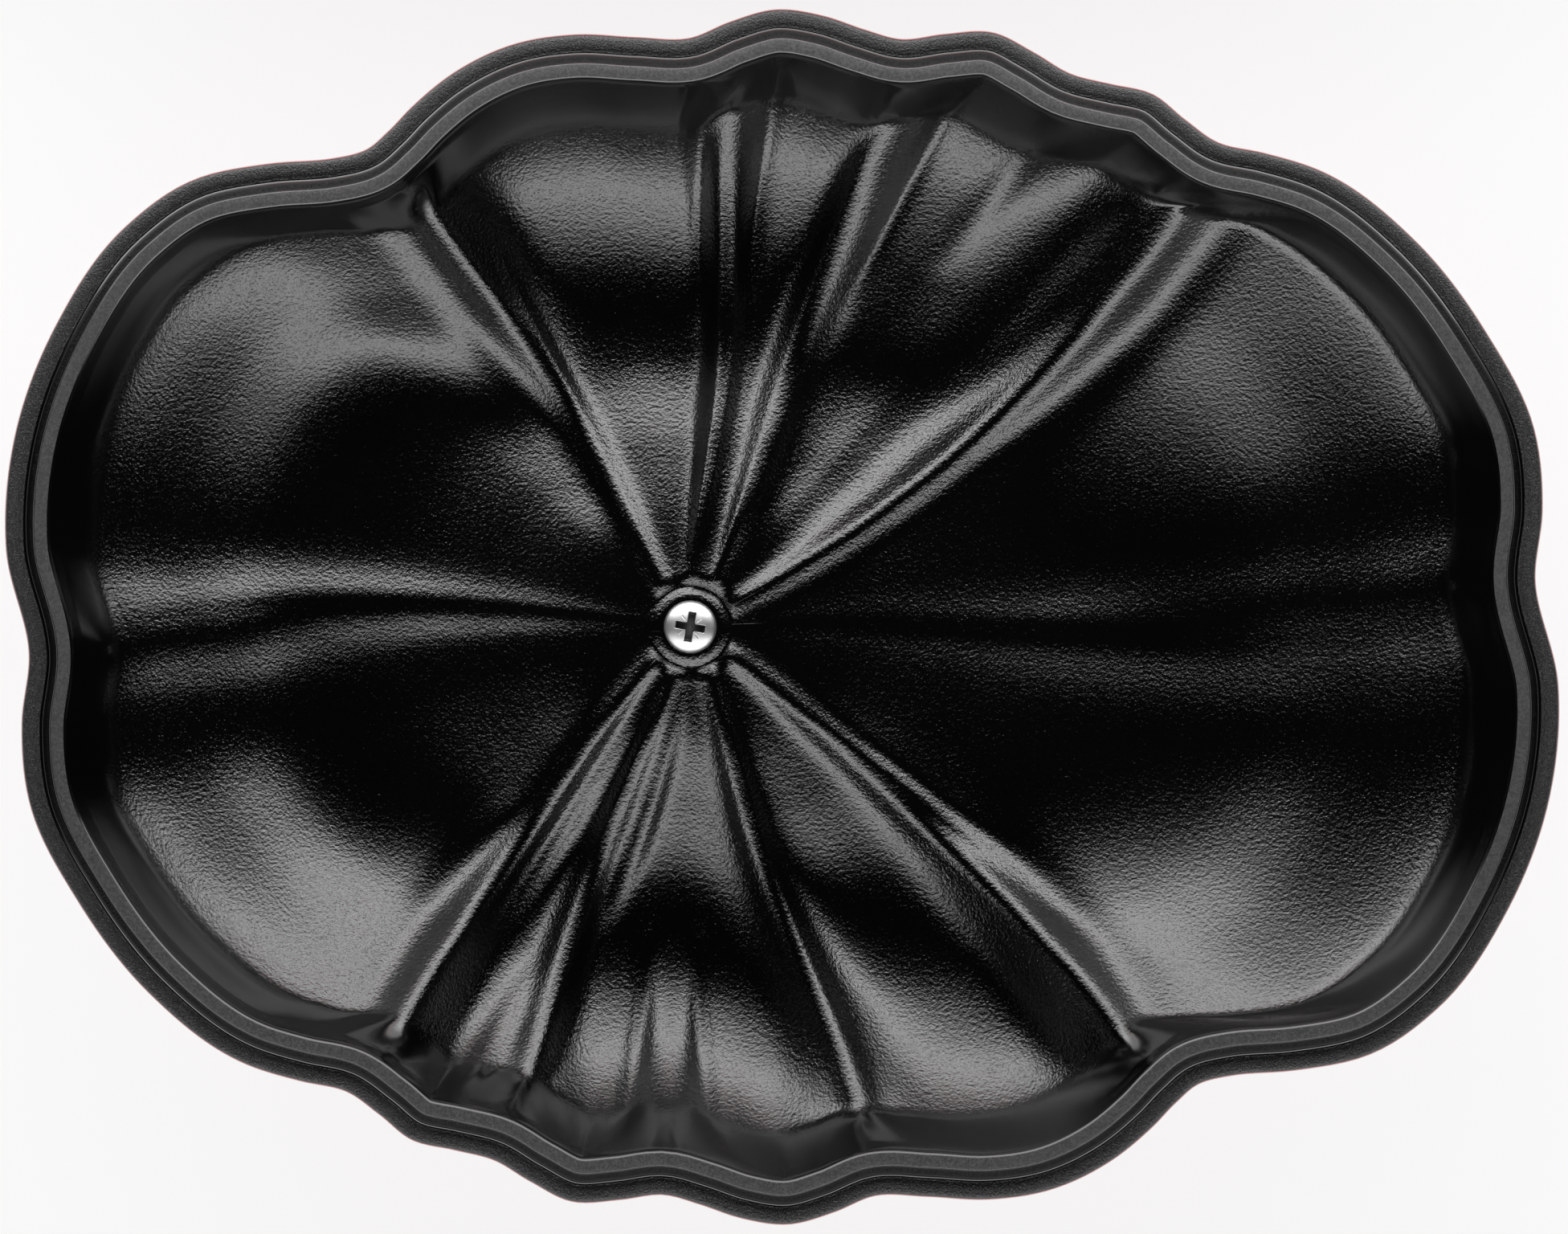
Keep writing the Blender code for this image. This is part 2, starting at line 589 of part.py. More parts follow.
def build_pot():
    """Pot casting: lobed wall that fades into an oval foot, plain rim, flat base, and its two handles.

    Its columns of faces are those of the lid's rim turned over, so the two fit with an even gap.
    """
    rim_angle, _ = column_angles(1.0)
    rim = rim_at(rim_angle, STEM)
    top = POT_HEIGHT
    rings = [ring(pot_plan(rim, POT_FOOT_INSET, 1.0), 0.0)]
    for share, distance, fade in reversed(POT_SIDE):
        rings.append(ring(pot_plan(rim, distance, fade), share * top))
    rings += [
        ring(pot_plan(rim, 0.0, 0.0), top - POT_RIM_ROUND),
        ring(pot_plan(rim, POT_RIM_ROUND, 0.0), top),
        ring(pot_plan(rim, POT_MOUTH_WALL - POT_RIM_ROUND, 0.0), top),
        ring(pot_plan(rim, POT_MOUTH_WALL, 0.0), top - 2 * POT_RIM_ROUND),
    ]
    for share, distance, fade in POT_SIDE[1:]:
        height = POT_FLOOR + (top - POT_FLOOR) * share
        rings.append(ring(pot_plan(rim, distance + POT_WALL, fade), height))
    rings.append(ring(pot_plan(rim, POT_FOOT_INSET + POT_WALL, 1.0), POT_FLOOR))
    mesh = closed_mesh("pot", rings, (True, True))
    pot = place("pot", mesh, material("red_enamel", (0.35, 0.012, 0.015), 0.15, 0.0))
    for side, name in ((1.0, "handle_right"), (-1.0, "handle_left")):
        boolean(pot, guide(name, handle_bar(name, side)), "UNION")


def finish():
    """Empty the scene, build the pieces and set the lid down beside the pot."""
    for old in list(bpy.data.objects):
        bpy.data.objects.remove(old, do_unlink=True)
    build_pot()
    lid = build_lid()
    knob = build_knob()
    screw, cutter = build_screw()

    # The lid stands on its knob, and the line it turns about lies midway between its seat and the pot's rim
    lid_seat_height = KNOB_SEAT_DEPTH + SEAT_GAP + KNOB_HEIGHT
    turn_height = 0.5 * (lid_seat_height + POT_HEIGHT + SEAT_GAP)
    turn_y = -0.5 * (RIM_WIDTH + RIM_APART)
    axis = bpy.data.objects.new("turn_over_axis", None)
    axis.location = (0.0, turn_y * MM, turn_height * MM)
    bpy.context.collection.objects.link(axis)
    for piece in (lid, knob, screw, cutter):
        piece.parent = axis
        piece.matrix_parent_inverse = Matrix.Identity(4)
        piece.location = (0.0, turn_y * MM, (lid_seat_height - turn_height) * MM)


finish()
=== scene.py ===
"""Cast cocotte with a lobed oval rim: a pot, and a lid that lies turned over before it with its inside up.

Surfaces are worked out in millimetres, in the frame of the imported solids, and skin() makes them metres.
"""

import bpy
import numpy as np
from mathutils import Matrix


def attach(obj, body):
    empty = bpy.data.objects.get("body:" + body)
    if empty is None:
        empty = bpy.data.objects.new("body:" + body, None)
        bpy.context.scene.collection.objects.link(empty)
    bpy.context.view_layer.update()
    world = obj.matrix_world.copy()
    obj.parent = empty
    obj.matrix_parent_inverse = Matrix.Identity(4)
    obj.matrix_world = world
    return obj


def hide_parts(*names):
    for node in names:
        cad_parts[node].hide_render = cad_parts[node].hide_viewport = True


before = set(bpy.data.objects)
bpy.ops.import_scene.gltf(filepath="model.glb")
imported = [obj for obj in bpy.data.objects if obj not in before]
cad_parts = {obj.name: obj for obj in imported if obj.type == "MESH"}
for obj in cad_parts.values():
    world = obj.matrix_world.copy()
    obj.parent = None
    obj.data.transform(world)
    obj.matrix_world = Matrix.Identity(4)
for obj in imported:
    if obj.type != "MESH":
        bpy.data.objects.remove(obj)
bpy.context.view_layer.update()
MM = 0.001

# Studio: pale floor, a long soft box on either side of the lid and a low one beside the pot, dark above.
# The camera looks straight down at the lid from 1.5 m, so that the lid fills the picture from edge to edge.

LID_MIDDLE = np.array([0.0, -264.0])
CAMERA_HEIGHT = 1500.0
LID_PLANE = 55.0
PICTURE_WIDTH = 251.5
PICTURE_SHIFT = 0.3
SENSOR = 36.0
camera = bpy.data.cameras.new("camera")
camera.sensor_width = SENSOR
camera.lens = SENSOR * CAMERA_HEIGHT / PICTURE_WIDTH
camera.clip_end = 20.0
eye = bpy.data.objects.new("camera", camera)
eye.location = (PICTURE_SHIFT * MM, LID_MIDDLE[1] * MM, (CAMERA_HEIGHT + LID_PLANE) * MM)
bpy.context.collection.objects.link(eye)
bpy.context.scene.camera = eye
bpy.context.scene.view_settings.view_transform = "Standard"


class Wire:
    """One socket of a shader. Sums, products and powers of it add their own Math nodes."""

    def __init__(self, finish, socket):
        self.finish = finish
        self.socket = socket

    def math(self, operation, *values):
        return self.finish.node("ShaderNodeMath", {"operation": operation}, dict(enumerate(values)))

    def __add__(self, other):
        return self.math("ADD", self, other)

    def __sub__(self, other):
        return self.math("SUBTRACT", self, other)

    def __rsub__(self, other):
        return self.math("SUBTRACT", other, self)

    def __mul__(self, other):
        return self.math("MULTIPLY", self, other)

    __radd__ = __add__
    __rmul__ = __mul__

    def __pow__(self, other):
        return self.math("POWER", self, other)

    def rise(self, low, high):
        """0 below low and 1 above high, with a soft step between them; turned round where high is less."""
        return self.finish.node(
            "ShaderNodeMapRange", {"interpolation_type": "SMOOTHSTEP"},
            {"Value": self, "From Min": low, "From Max": high})

    def between(self, low, high, soft):
        """1 from low to high and 0 outside, with soft ends."""
        return self.rise(low - soft, low + soft) * self.rise(high + soft, high - soft)


class Finish:
    """Node tree of a material, or of the world, to which nodes are added one by one."""

    def __init__(self, tree):
        self.tree = tree
        tree.nodes.clear()

    def node(self, kind, settings, sockets, out=0):
        """Add a node: its type, its settings, then the values or wires of its sockets."""
        made = self.tree.nodes.new(kind)
        for key, value in settings.items():
            setattr(made, key, value)
        for key, value in sockets.items():
            if isinstance(value, Wire):
                self.tree.links.new(value.socket, made.inputs[key])
            else:
                made.inputs[key].default_value = value
        return Wire(self, made.outputs[out]) if len(made.outputs) else None

    def ray(self, kind):
        """1 on light paths of one kind, such as Is Camera Ray, and 0 on all others."""
        return self.node("ShaderNodeLightPath", {}, {}, out=kind)

    def mix(self, factor, one, two):
        """Colour that goes from one to two as factor goes from 0 to 1."""
        sockets = {0: factor, 6: one, 7: two}
        return self.node("ShaderNodeMix", {"data_type": "RGBA"}, sockets, out=2)

    def noise(self, scale, detail, roughness, stretch=(1.0, 1.0, 1.0)):
        """Noise in the object's own coordinates: waves to the metre, octaves and each one's share."""
        place = self.node("ShaderNodeTexCoord", {}, {}, out="Object")
        place = self.node("ShaderNodeMapping", {}, {"Vector": place, "Scale": stretch})
        sockets = {"Vector": place, "Scale": scale, "Detail": detail, "Roughness": roughness}
        return self.node("ShaderNodeTexNoise", {"noise_dimensions": "3D"}, sockets)

    def bump(self, height, depth):
        """Normal of a skin whose height goes from 0 to 1 in so many metres."""
        return self.node("ShaderNodeBump", {}, {"Strength": 1.0, "Distance": depth, "Height": height})

    def principled(self, sockets):
        """Principled shader with these sockets, as the material's surface."""
        shader = self.node("ShaderNodeBsdfPrincipled", {}, sockets)
        self.node("ShaderNodeOutputMaterial", {}, {"Surface": shader})


def grey(value):
    """Colour with the same red, green and blue."""
    return (value, value, value, 1.0)


def new_material(name):
    """Material with an empty node tree, and the Finish that fills the tree."""
    made = bpy.data.materials.new(name)
    made.use_nodes = True
    return made, Finish(made.node_tree)


world = bpy.data.worlds.new("studio")
bpy.context.scene.world = world
world.use_nodes = True
air = Finish(world.node_tree)
# Heights of the view direction between which the bright horizon fades, its level, and that of the dim room
HORIZON_TOP = 0.05
HORIZON_FADE = 0.16
HORIZON_GLOW = 0.05
ROOM_LIGHT = 0.12
toward = air.node("ShaderNodeTexCoord", {}, {}, out="Generated")
height = air.node("ShaderNodeSeparateXYZ", {}, {"Vector": toward}, out="Z")
seen, mirrored = air.ray("Is Camera Ray"), air.ray("Is Glossy Ray")
through = air.ray("Is Transmission Ray")
wall_glow = (mirrored + through) * height.rise(HORIZON_FADE, HORIZON_TOP) * HORIZON_GLOW
glow = seen.math("MAXIMUM", seen, wall_glow)
level = glow + (1.0 - glow) * (1.0 - seen) * (1.0 - mirrored) * ROOM_LIGHT
backdrop = air.node("ShaderNodeBackground", {}, {"Color": grey(1.0), "Strength": level})
air.node("ShaderNodeOutputWorld", {}, {"Surface": backdrop})

FLOOR_HALF = 4.0
FLOOR_WHITE = 0.88
FLOOR_GLOW = 0.80
corners = FLOOR_HALF * np.array(((-1.0, -1.0, 0.0), (1.0, -1.0, 0.0), (1.0, 1.0, 0.0), (-1.0, 1.0, 0.0)))
floor_mesh = bpy.data.meshes.new("floor")
floor_mesh.from_pydata(corners.tolist(), [], [(0, 1, 2, 3)])
floor = bpy.data.objects.new("floor", floor_mesh)
bpy.context.collection.objects.link(floor)
pale, paint = new_material("pale_floor")
seen, mirrored = paint.ray("Is Camera Ray"), paint.ray("Is Glossy Ray")
through = paint.ray("Is Transmission Ray")
matt = paint.node("ShaderNodeBsdfDiffuse", {}, {"Color": grey(FLOOR_WHITE)})
white = paint.node("ShaderNodeEmission", {}, {"Color": grey(1.0), "Strength": 1.0})
share = seen.math("MAXIMUM", seen, mirrored + through) * FLOOR_GLOW
both = paint.node("ShaderNodeMixShader", {}, {0: share, 1: matt, 2: white})
paint.node("ShaderNodeOutputMaterial", {}, {"Surface": both})
floor_mesh.materials.append(pale)

# Soft boxes on either side of the lid, 0.7 m from it. Their level swells up to a fifth of their height,
# falls away slowly above it, and fades towards both ends. A low one stands between pot and lid, where the
# pot hides the foot of the far box.
BOX_APART = 700.0
BOX_WIDTH = 3200.0
BOX_LOW = 50.0
BOX_HIGH = 1900.0
BOX_LEVEL = 3.5
BOX_SWELL = (0.04, 0.21)
BOX_FALL = (0.80, 0.20)
BOX_ENDS = 0.26
BOX_DIMMEST = 0.02
# Its y, width, lowest and highest height, and level
LOW_BOX = (-136.0, 460.0, 56.0, 160.0, 1.7)


def soft_box(name, y, width, low, high, level, graded):
    """Upright lamp from one height to another that faces the lid, of an even level or a graded one.

    A graded lamp's level is its rise over its lower part, times the square of its fall over the rest, times
    a soft step at either end. A lamp's energy is its level times pi times its area.
    """
    lamp = bpy.data.lights.new(name, "AREA")
    lamp.shape = "RECTANGLE"
    lamp.size = width * MM
    lamp.size_y = (high - low) * MM
    lamp.energy = level * np.pi * lamp.size * lamp.size_y
    if graded:
        lamp.use_nodes = True
        silk = Finish(lamp.node_tree)
        place = silk.node("ShaderNodeNewGeometry", {}, {}, out="Parametric")
        along = silk.node("ShaderNodeSeparateXYZ", {}, {"Vector": place}, out="X")
        up = silk.node("ShaderNodeSeparateXYZ", {}, {"Vector": place}, out="Y")
        ends = along.rise(0.0, BOX_ENDS) * along.rise(1.0, 1.0 - BOX_ENDS)
        swell = BOX_DIMMEST + (1.0 - BOX_DIMMEST) * up.rise(*BOX_SWELL)
        swell = swell * up.rise(*BOX_FALL) ** 2.0
        glow = silk.node("ShaderNodeEmission", {}, {"Color": grey(1.0), "Strength": ends * swell})
        silk.node("ShaderNodeOutputLight", {}, {"Surface": glow})
    made = bpy.data.objects.new(name, lamp)
    made.location = (0.0, y * MM, 0.5 * (low + high) * MM)
    made.rotation_euler = (np.pi / 2, 0.0, np.pi if y > LID_MIDDLE[1] else 0.0)
    made.visible_camera = False
    bpy.context.collection.objects.link(made)


far_y, near_y = LID_MIDDLE[1] + BOX_APART, LID_MIDDLE[1] - BOX_APART
soft_box("far_box", far_y, BOX_WIDTH, BOX_LOW + LID_PLANE, BOX_HIGH, BOX_LEVEL, True)
soft_box("near_box", near_y, BOX_WIDTH, BOX_LOW + LID_PLANE, BOX_HIGH, BOX_LEVEL, True)
soft_box("low_box", *LOW_BOX, False)

# Lid: one casting of enamelled iron, 250 x 196 mm. Its inside, face up, has crests that run from a boss to
# the notches of the rim, hollows between them, and a rim with a flange, a cove and a ground seat.
# Black enamel with an orange-peel skin covers the inside, red enamel the outside up to the flange's edge.

RIM_LENGTH = 249.85
RIM_WIDTH = 195.4
# Angle in degrees round the middle and distance from it, for half a turn, from one notch to the next
RIM_POINTS = (
    (3.0, 121.4), (8.0, 123.6), (14.0, 124.8), (22.0, 122.3), (31.0, 118.5), (40.0, 112.4), (44.0, 107.8),
    (47.3, 104.0), (51.0, 103.2), (54.8, 103.3), (58.5, 100.9),
    (62.0, 99.2), (66.0, 99.7), (70.3, 100.2), (74.5, 97.6),
    (78.3, 95.2), (82.0, 95.7), (86.0, 97.2), (90.7, 98.0), (95.0, 96.4),
    (99.0, 94.6), (104.0, 96.4), (109.5, 99.7), (115.0, 102.0), (121.0, 102.5), (126.0, 101.6),
    (129.0, 100.8), (131.7, 100.9), (134.5, 103.7), (138.5, 110.4), (143.0, 117.7), (149.0, 122.9),
    (158.0, 126.0), (167.0, 126.9), (175.0, 125.4),
)
RIM_SAMPLES = 2880
STEM = np.array([-14.9, -1.6])
SEAT_LEVEL = 53.8
BOSS_RADIUS = 7.2
FOOT_INSET = 14.5


def curve_through(points, at, period=None):
    """Smooth curve through (place, value) points: cubics whose slopes follow from the neighbours."""
    x = np.array([p[0] for p in points], float)
    y = np.array([p[1] for p in points], float)
    if period:
        at = (at - x[0]) % period + x[0]
        x = np.concatenate(([x[-1] - period], x, [x[0] + period, x[1] + period]))
        y = np.concatenate(([y[-1]], y, [y[0], y[1]]))
    slope = np.gradient(y, x)
    i = np.clip(np.searchsorted(x, at, side="right") - 1, 0, len(x) - 2)
    width = x[i + 1] - x[i]
    s = np.clip((at - x[i]) / width, 0.0, 1.0)
    start = y[i] * (1 + 2 * s) * (1 - s) ** 2 + slope[i] * width * s * (1 - s) ** 2
    end = y[i + 1] * s * s * (3 - 2 * s) + slope[i + 1] * width * s * s * (s - 1)
    return start + end


rim_angle = np.arange(RIM_SAMPLES) * 360.0 / RIM_SAMPLES
rim_turn = np.radians(rim_angle)
RIM = np.stack((np.cos(rim_turn), np.sin(rim_turn)), axis=1)
RIM *= curve_through(RIM_POINTS, rim_angle, 180.0)[:, None]
RIM *= np.array([RIM_LENGTH, RIM_WIDTH]) / np.ptp(RIM, axis=0)
rim_ahead = np.roll(RIM, -1, axis=0) - np.roll(RIM, 1, axis=0)
RIM_NORMAL = np.stack((rim_ahead[:, 1], -rim_ahead[:, 0]), axis=1)
RIM_NORMAL /= np.linalg.norm(RIM_NORMAL, axis=1)[:, None]


def rim_at(angle):
    """Rim points and outward normals that are seen from the stem at the given angles in degrees."""
    seen = np.degrees(np.unwrap(np.arctan2(RIM[:, 1] - STEM[1], RIM[:, 0] - STEM[0])))
    table = np.column_stack((RIM, RIM_NORMAL))
    table = np.vstack((table, table[:1]))
    seen = np.append(seen, seen[0] + 360.0)
    wrapped = (angle - seen[0]) % 360.0 + seen[0]
    found = np.stack([np.interp(wrapped, seen, table[:, c]) for c in range(4)], axis=-1)
    return found[..., :2], found[..., 2:]


# Depths below the seat are given at these shares of the way from the boss to the foot of the wall
STATIONS = (0.0, 0.15, 0.3, 0.5, 0.7, 0.85, 1.0)
# Crest: its angle at the boss, a third out, two thirds out and at the wall; its depths; the roll along it
# (height, how wide it is clockwise and anticlockwise); then its clockwise and its anticlockwise flank,
# each as half width of the ledge, softness of its edge, reach and fullness
CRESTS = (
    ((3.5, 0.0, -1.0, 1.5), (17.0, 17.9, 20.4, 23.0, 21.8, 15.8, 8.8), (0.0, 0.5, 0.5),
     (0.6, 2.0, 8.0, 1.5), (0.6, 2.0, 7.0, 1.5)),
    ((27.0, 32.0, 36.2, 40.3), (17.0, 18.4, 21.4, 23.0, 19.0, 13.4, 8.0), (1.9, 2.7, 2.5),
     (2.5, 2.5, 20.0, 1.8), (1.0, 1.2, 6.0, 1.6)),
    ((63.0, 68.3, 69.0, 67.8), (17.0, 18.2, 21.6, 25.2, 23.2, 19.2, 12.6), (2.8, 4.6, 3.8),
     (0.6, 1.5, 4.0, 1.6), (0.6, 1.5, 3.0, 1.6)),
    ((88.0, 83.0, 84.2, 85.2), (17.0, 17.8, 20.6, 24.2, 22.4, 18.6, 12.4), (1.8, 3.0, 2.6),
     (0.6, 1.2, 4.0, 1.5), (0.6, 1.2, 3.0, 1.5)),
    ((124.0, 118.6, 120.2, 122.0), (17.0, 18.4, 21.6, 24.2, 20.8, 14.8, 8.2), (1.9, 2.5, 2.7),
     (1.0, 1.2, 7.0, 1.7), (2.5, 2.0, 16.0, 1.8)),
    ((173.0, 174.8, 177.0, 180.0), (17.0, 17.9, 20.4, 23.0, 21.8, 15.6, 8.8), (0.0, 0.5, 0.5),
     (0.6, 1.5, 6.0, 1.5), (0.6, 1.5, 8.0, 1.5)),
    ((223.0, 230.3, 232.0, 233.7), (17.0, 18.4, 21.6, 24.2, 20.8, 14.8, 8.2), (1.9, 2.7, 2.5),
     (2.5, 2.0, 16.0, 1.8), (1.0, 1.2, 5.0, 1.6)),
    ((251.0, 248.6, 248.8, 250.0), (17.0, 18.4, 22.2, 26.0, 23.2, 18.8, 12.2), (2.1, 2.8, 2.6),
     (0.6, 1.5, 4.0, 1.6), (0.6, 1.5, 4.0, 1.6)),
    ((292.0, 287.0, 288.5, 289.5), (17.0, 18.0, 20.8, 23.2, 21.2, 17.0, 11.6), (2.0, 2.4, 2.6),
     (2.0, 1.5, 7.0, 1.5), (0.8, 1.2, 6.0, 1.4)),
    ((326.0, 320.8, 319.5, 316.8), (17.0, 18.4, 21.4, 23.0, 19.0, 13.4, 8.0), (1.9, 2.5, 2.7),
     (1.0, 1.2, 7.0, 1.7), (2.5, 2.5, 20.0, 1.8)),
)
# Depths of the hollow after each crest, and the columns of faces across it
HOLLOWS = (
    ((17.1, 18.5, 21.6, 25.0, 23.0, 17.0, 12.8), 76),
    ((17.1, 19.0, 22.8, 26.6, 24.2, 20.6, 16.2), 64),
    ((17.1, 19.2, 22.2, 25.8, 25.2, 21.4, 16.0), 48),
    ((17.1, 19.0, 21.8, 26.0, 25.4, 21.6, 16.2), 70),
    ((17.1, 18.6, 21.7, 25.2, 24.2, 17.4, 12.6), 92),
    ((17.1, 18.6, 21.7, 25.2, 24.2, 17.6, 12.6), 88),
    ((17.1, 19.4, 23.2, 27.2, 25.2, 21.0, 16.0), 40),
    ((17.1, 19.2, 22.8, 26.8, 26.0, 22.0, 16.2), 78),
    ((17.1, 19.2, 22.4, 26.6, 25.6, 21.6, 16.2), 56),
    ((17.1, 18.5, 21.6, 25.2, 24.2, 17.8, 12.8), 84),
)
# Rise that closes every hollow at the foot of the wall, and the power of the way out that it follows
FOOT_RISE = 3.6
FOOT_POWER = 13
# Rolls swell out of the boss: their share there, the way out at which they are full, and the least share of
# their width
ROLL_AT_BOSS = 0.45
ROLL_FULL = 0.35
ROLL_NARROWEST = 0.6
# Rib, or groove where its height is less than nothing: angles where it starts and ends, ways out where
# it starts and ends, height, half width, fullness: 2 for a round top and 4 for a flat one
RIBS = (
    ((125.2, 126.2), (0.40, 1.35), -1.4, 3.2, 2.0),
    ((27.4, 42.9), (0.40, 1.35), -1.4, 3.2, 2.0),
    ((223.8, 233.3), (0.40, 1.35), -1.4, 3.2, 2.0),
    ((326.8, 316.0), (0.40, 1.35), -1.4, 3.2, 2.0),
    ((55.0, 53.4), (0.72, 1.30), 1.2, 2.4, 2.0),
    ((117.0, 117.4), (0.40, 0.85), 0.5, 1.2, 2.0),
    ((238.5, 238.3), (0.05, 0.80), 1.0, 1.6, 2.0),
    ((261.7, 253.3), (0.02, 0.64), 1.6, 1.7, 2.0),
    ((244.4, 244.4), (0.74, 1.30), 1.6, 2.2, 2.0),
    ((262.4, 263.2), (0.58, 1.35), -2.4, 1.9, 1.7),
    ((271.4, 272.0), (0.58, 1.35), -2.4, 1.9, 1.7),
    ((64.0, 63.2), (0.60, 1.35), -1.6, 1.5, 1.8),
    ((81.0, 81.2), (0.58, 1.35), -1.8, 1.6, 1.8),
    ((88.8, 89.2), (0.55, 1.35), -2.0, 1.8, 1.8),
    ((324.5, 322.5), (0.15, 0.70), 0.6, 1.4, 2.0),
)
# Flanks are given at this radius, and narrow towards the boss as a power of it, down to the nearest radius
FLANK_RADIUS = 80.0
FLANK_GROWTH = 0.8
FLANK_NEAREST = 12.0
# A flank has died away at the next crest, as this power of the share of the way across
FLANK_END = 4
# How closely the columns crowd at the crests: 0 for evenly spread ones
CROWDING = 0.75


def crest_line(angles, way):
    """Angle of a crest at each share of the way out: the cubic through its four angles."""
    stations = np.linspace(0.0, 1.0, len(angles))
    total = 0.0
    for i, angle in enumerate(angles):
        weight = 1.0
        for j, station in enumerate(stations):
            if j != i:
                weight = weight * (way - station) / (stations[i] - station)
        total = total + angle * weight
    return total


counts = [count for _, count in HOLLOWS]
COLUMN_CREST = np.repeat(np.arange(len(CRESTS)), counts)
even = np.concatenate([np.arange(count) / count for count in counts])
COLUMN_SHARE = even - CROWDING * np.sin(2 * np.pi * even) / (2 * np.pi)


def column_angles(way):
    """Angle of every column at each share of the way out, and the width of the hollow that it crosses."""
    lines = np.stack([crest_line(row[0], way) for row in CRESTS])
    lines = np.vstack((lines, lines[:1] + 360.0))
    low, high = lines[COLUMN_CREST].T, lines[COLUMN_CREST + 1].T
    return low + (high - low) * COLUMN_SHARE, high - low


def flank(off, shape, radius, widen):
    """Share of a crest's height left at a distance from its line: ledge, soft edge, bell-like fall."""
    ledge, soft, reach, full = shape
    grown = (np.maximum(radius, FLANK_NEAREST) / FLANK_RADIUS) ** FLANK_GROWTH
    beyond = np.maximum(off - (ledge * grown + widen), 0.0)
    beyond = np.sqrt(beyond ** 2 + (soft * grown) ** 2) - soft * grown
    return np.exp(-(beyond / (reach * grown)) ** full)


def relief(way, keep=1.0, widen=0.0, ribbed=1.0):
    """Plan points and heights of the hollows: each one's floor, raised by the flanks of its two crests.

    The depth is the floor's, less each crest's height over it times its flank, less a bell round each
    crest's line for its roll, less a bell round each rib's line, which swells and ends as half a sine wave.
    keep is the share of the crests' height that is kept, widen is added to their half width, and ribbed
    is the share of the ribs' height that is kept.
    """
    angle, span = column_angles(way)
    points, _ = rim_at(angle)
    foot = np.linalg.norm(points - STEM, axis=-1) - FOOT_INSET
    radius = BOSS_RADIUS + (foot - BOSS_RADIUS) * way[:, None]
    width = np.radians(span) * radius
    crests = np.stack([curve_through(list(zip(STATIONS, row[1])), way) for row in CRESTS])
    floors = np.stack([curve_through(list(zip(STATIONS, row[0])), way) for row in HOLLOWS])
    floors = floors - FOOT_RISE * way ** FOOT_POWER
    rising = np.clip(way / ROLL_FULL, 0.0, 1.0)[:, None]
    rising = ROLL_AT_BOSS + (1.0 - ROLL_AT_BOSS) * rising * rising * (3.0 - 2.0 * rising)
    after = (COLUMN_CREST + 1) % len(CRESTS)
    depth = floors[COLUMN_CREST].T
    for which, share, side in ((COLUMN_CREST, COLUMN_SHARE, 4), (after, 1.0 - COLUMN_SHARE, 3)):
        shape = np.array([row[side] for row in CRESTS])[which].T
        tall = np.array([row[2][0] for row in CRESTS])[which]
        half_width = np.array([row[2][side - 2] for row in CRESTS])[which]
        off = share * width
        left = flank(off, shape, radius, widen) * (1.0 - share ** FLANK_END)
        depth = depth - keep * (floors[COLUMN_CREST].T - crests[which].T) * left
        roll_width = half_width * (ROLL_NARROWEST + (1.0 - ROLL_NARROWEST) * rising) + widen
        depth = depth - keep * rising * tall * np.exp(-(off / roll_width) ** 2)
    for (start, end), (first, last), tall, half_width, full in RIBS:
        along = (way[:, None] - first) / (last - first)
        line = start + (end - start) * along
        off = radius * np.radians((angle - line + 180.0) % 360.0 - 180.0)
        swell = np.sin(np.pi * np.clip(along, 0.0, 1.0))
        swell = swell * np.exp(-(np.abs(off) / (half_width + widen)) ** full)
        depth = depth - ribbed * tall * swell
    turn = np.radians(angle)
    plan = STEM + radius[..., None] * np.stack((np.cos(turn), np.sin(turn)), axis=-1)
    return np.dstack((plan, -depth))


def turned(centre, profile, turn):
    """Rings on circles about centre, one for each (radius, height) of the profile."""
    profile = np.array(profile)
    around = np.stack((np.cos(turn), np.sin(turn)), axis=-1)
    plan = centre + profile[:, 0][:, None, None] * around
    tall = np.broadcast_to(profile[:, 1][:, None], plan.shape[:2])
    return np.dstack((plan, tall))


def set_in(points, normals, profile):
    """Rings that follow the rim, one for each (distance in, height) of the profile."""
    profile = np.array(profile)
    plan = points - profile[:, 0][:, None, None] * normals
    tall = np.broadcast_to(profile[:, 1][:, None], plan.shape[:2])
    return np.dstack((plan, tall))


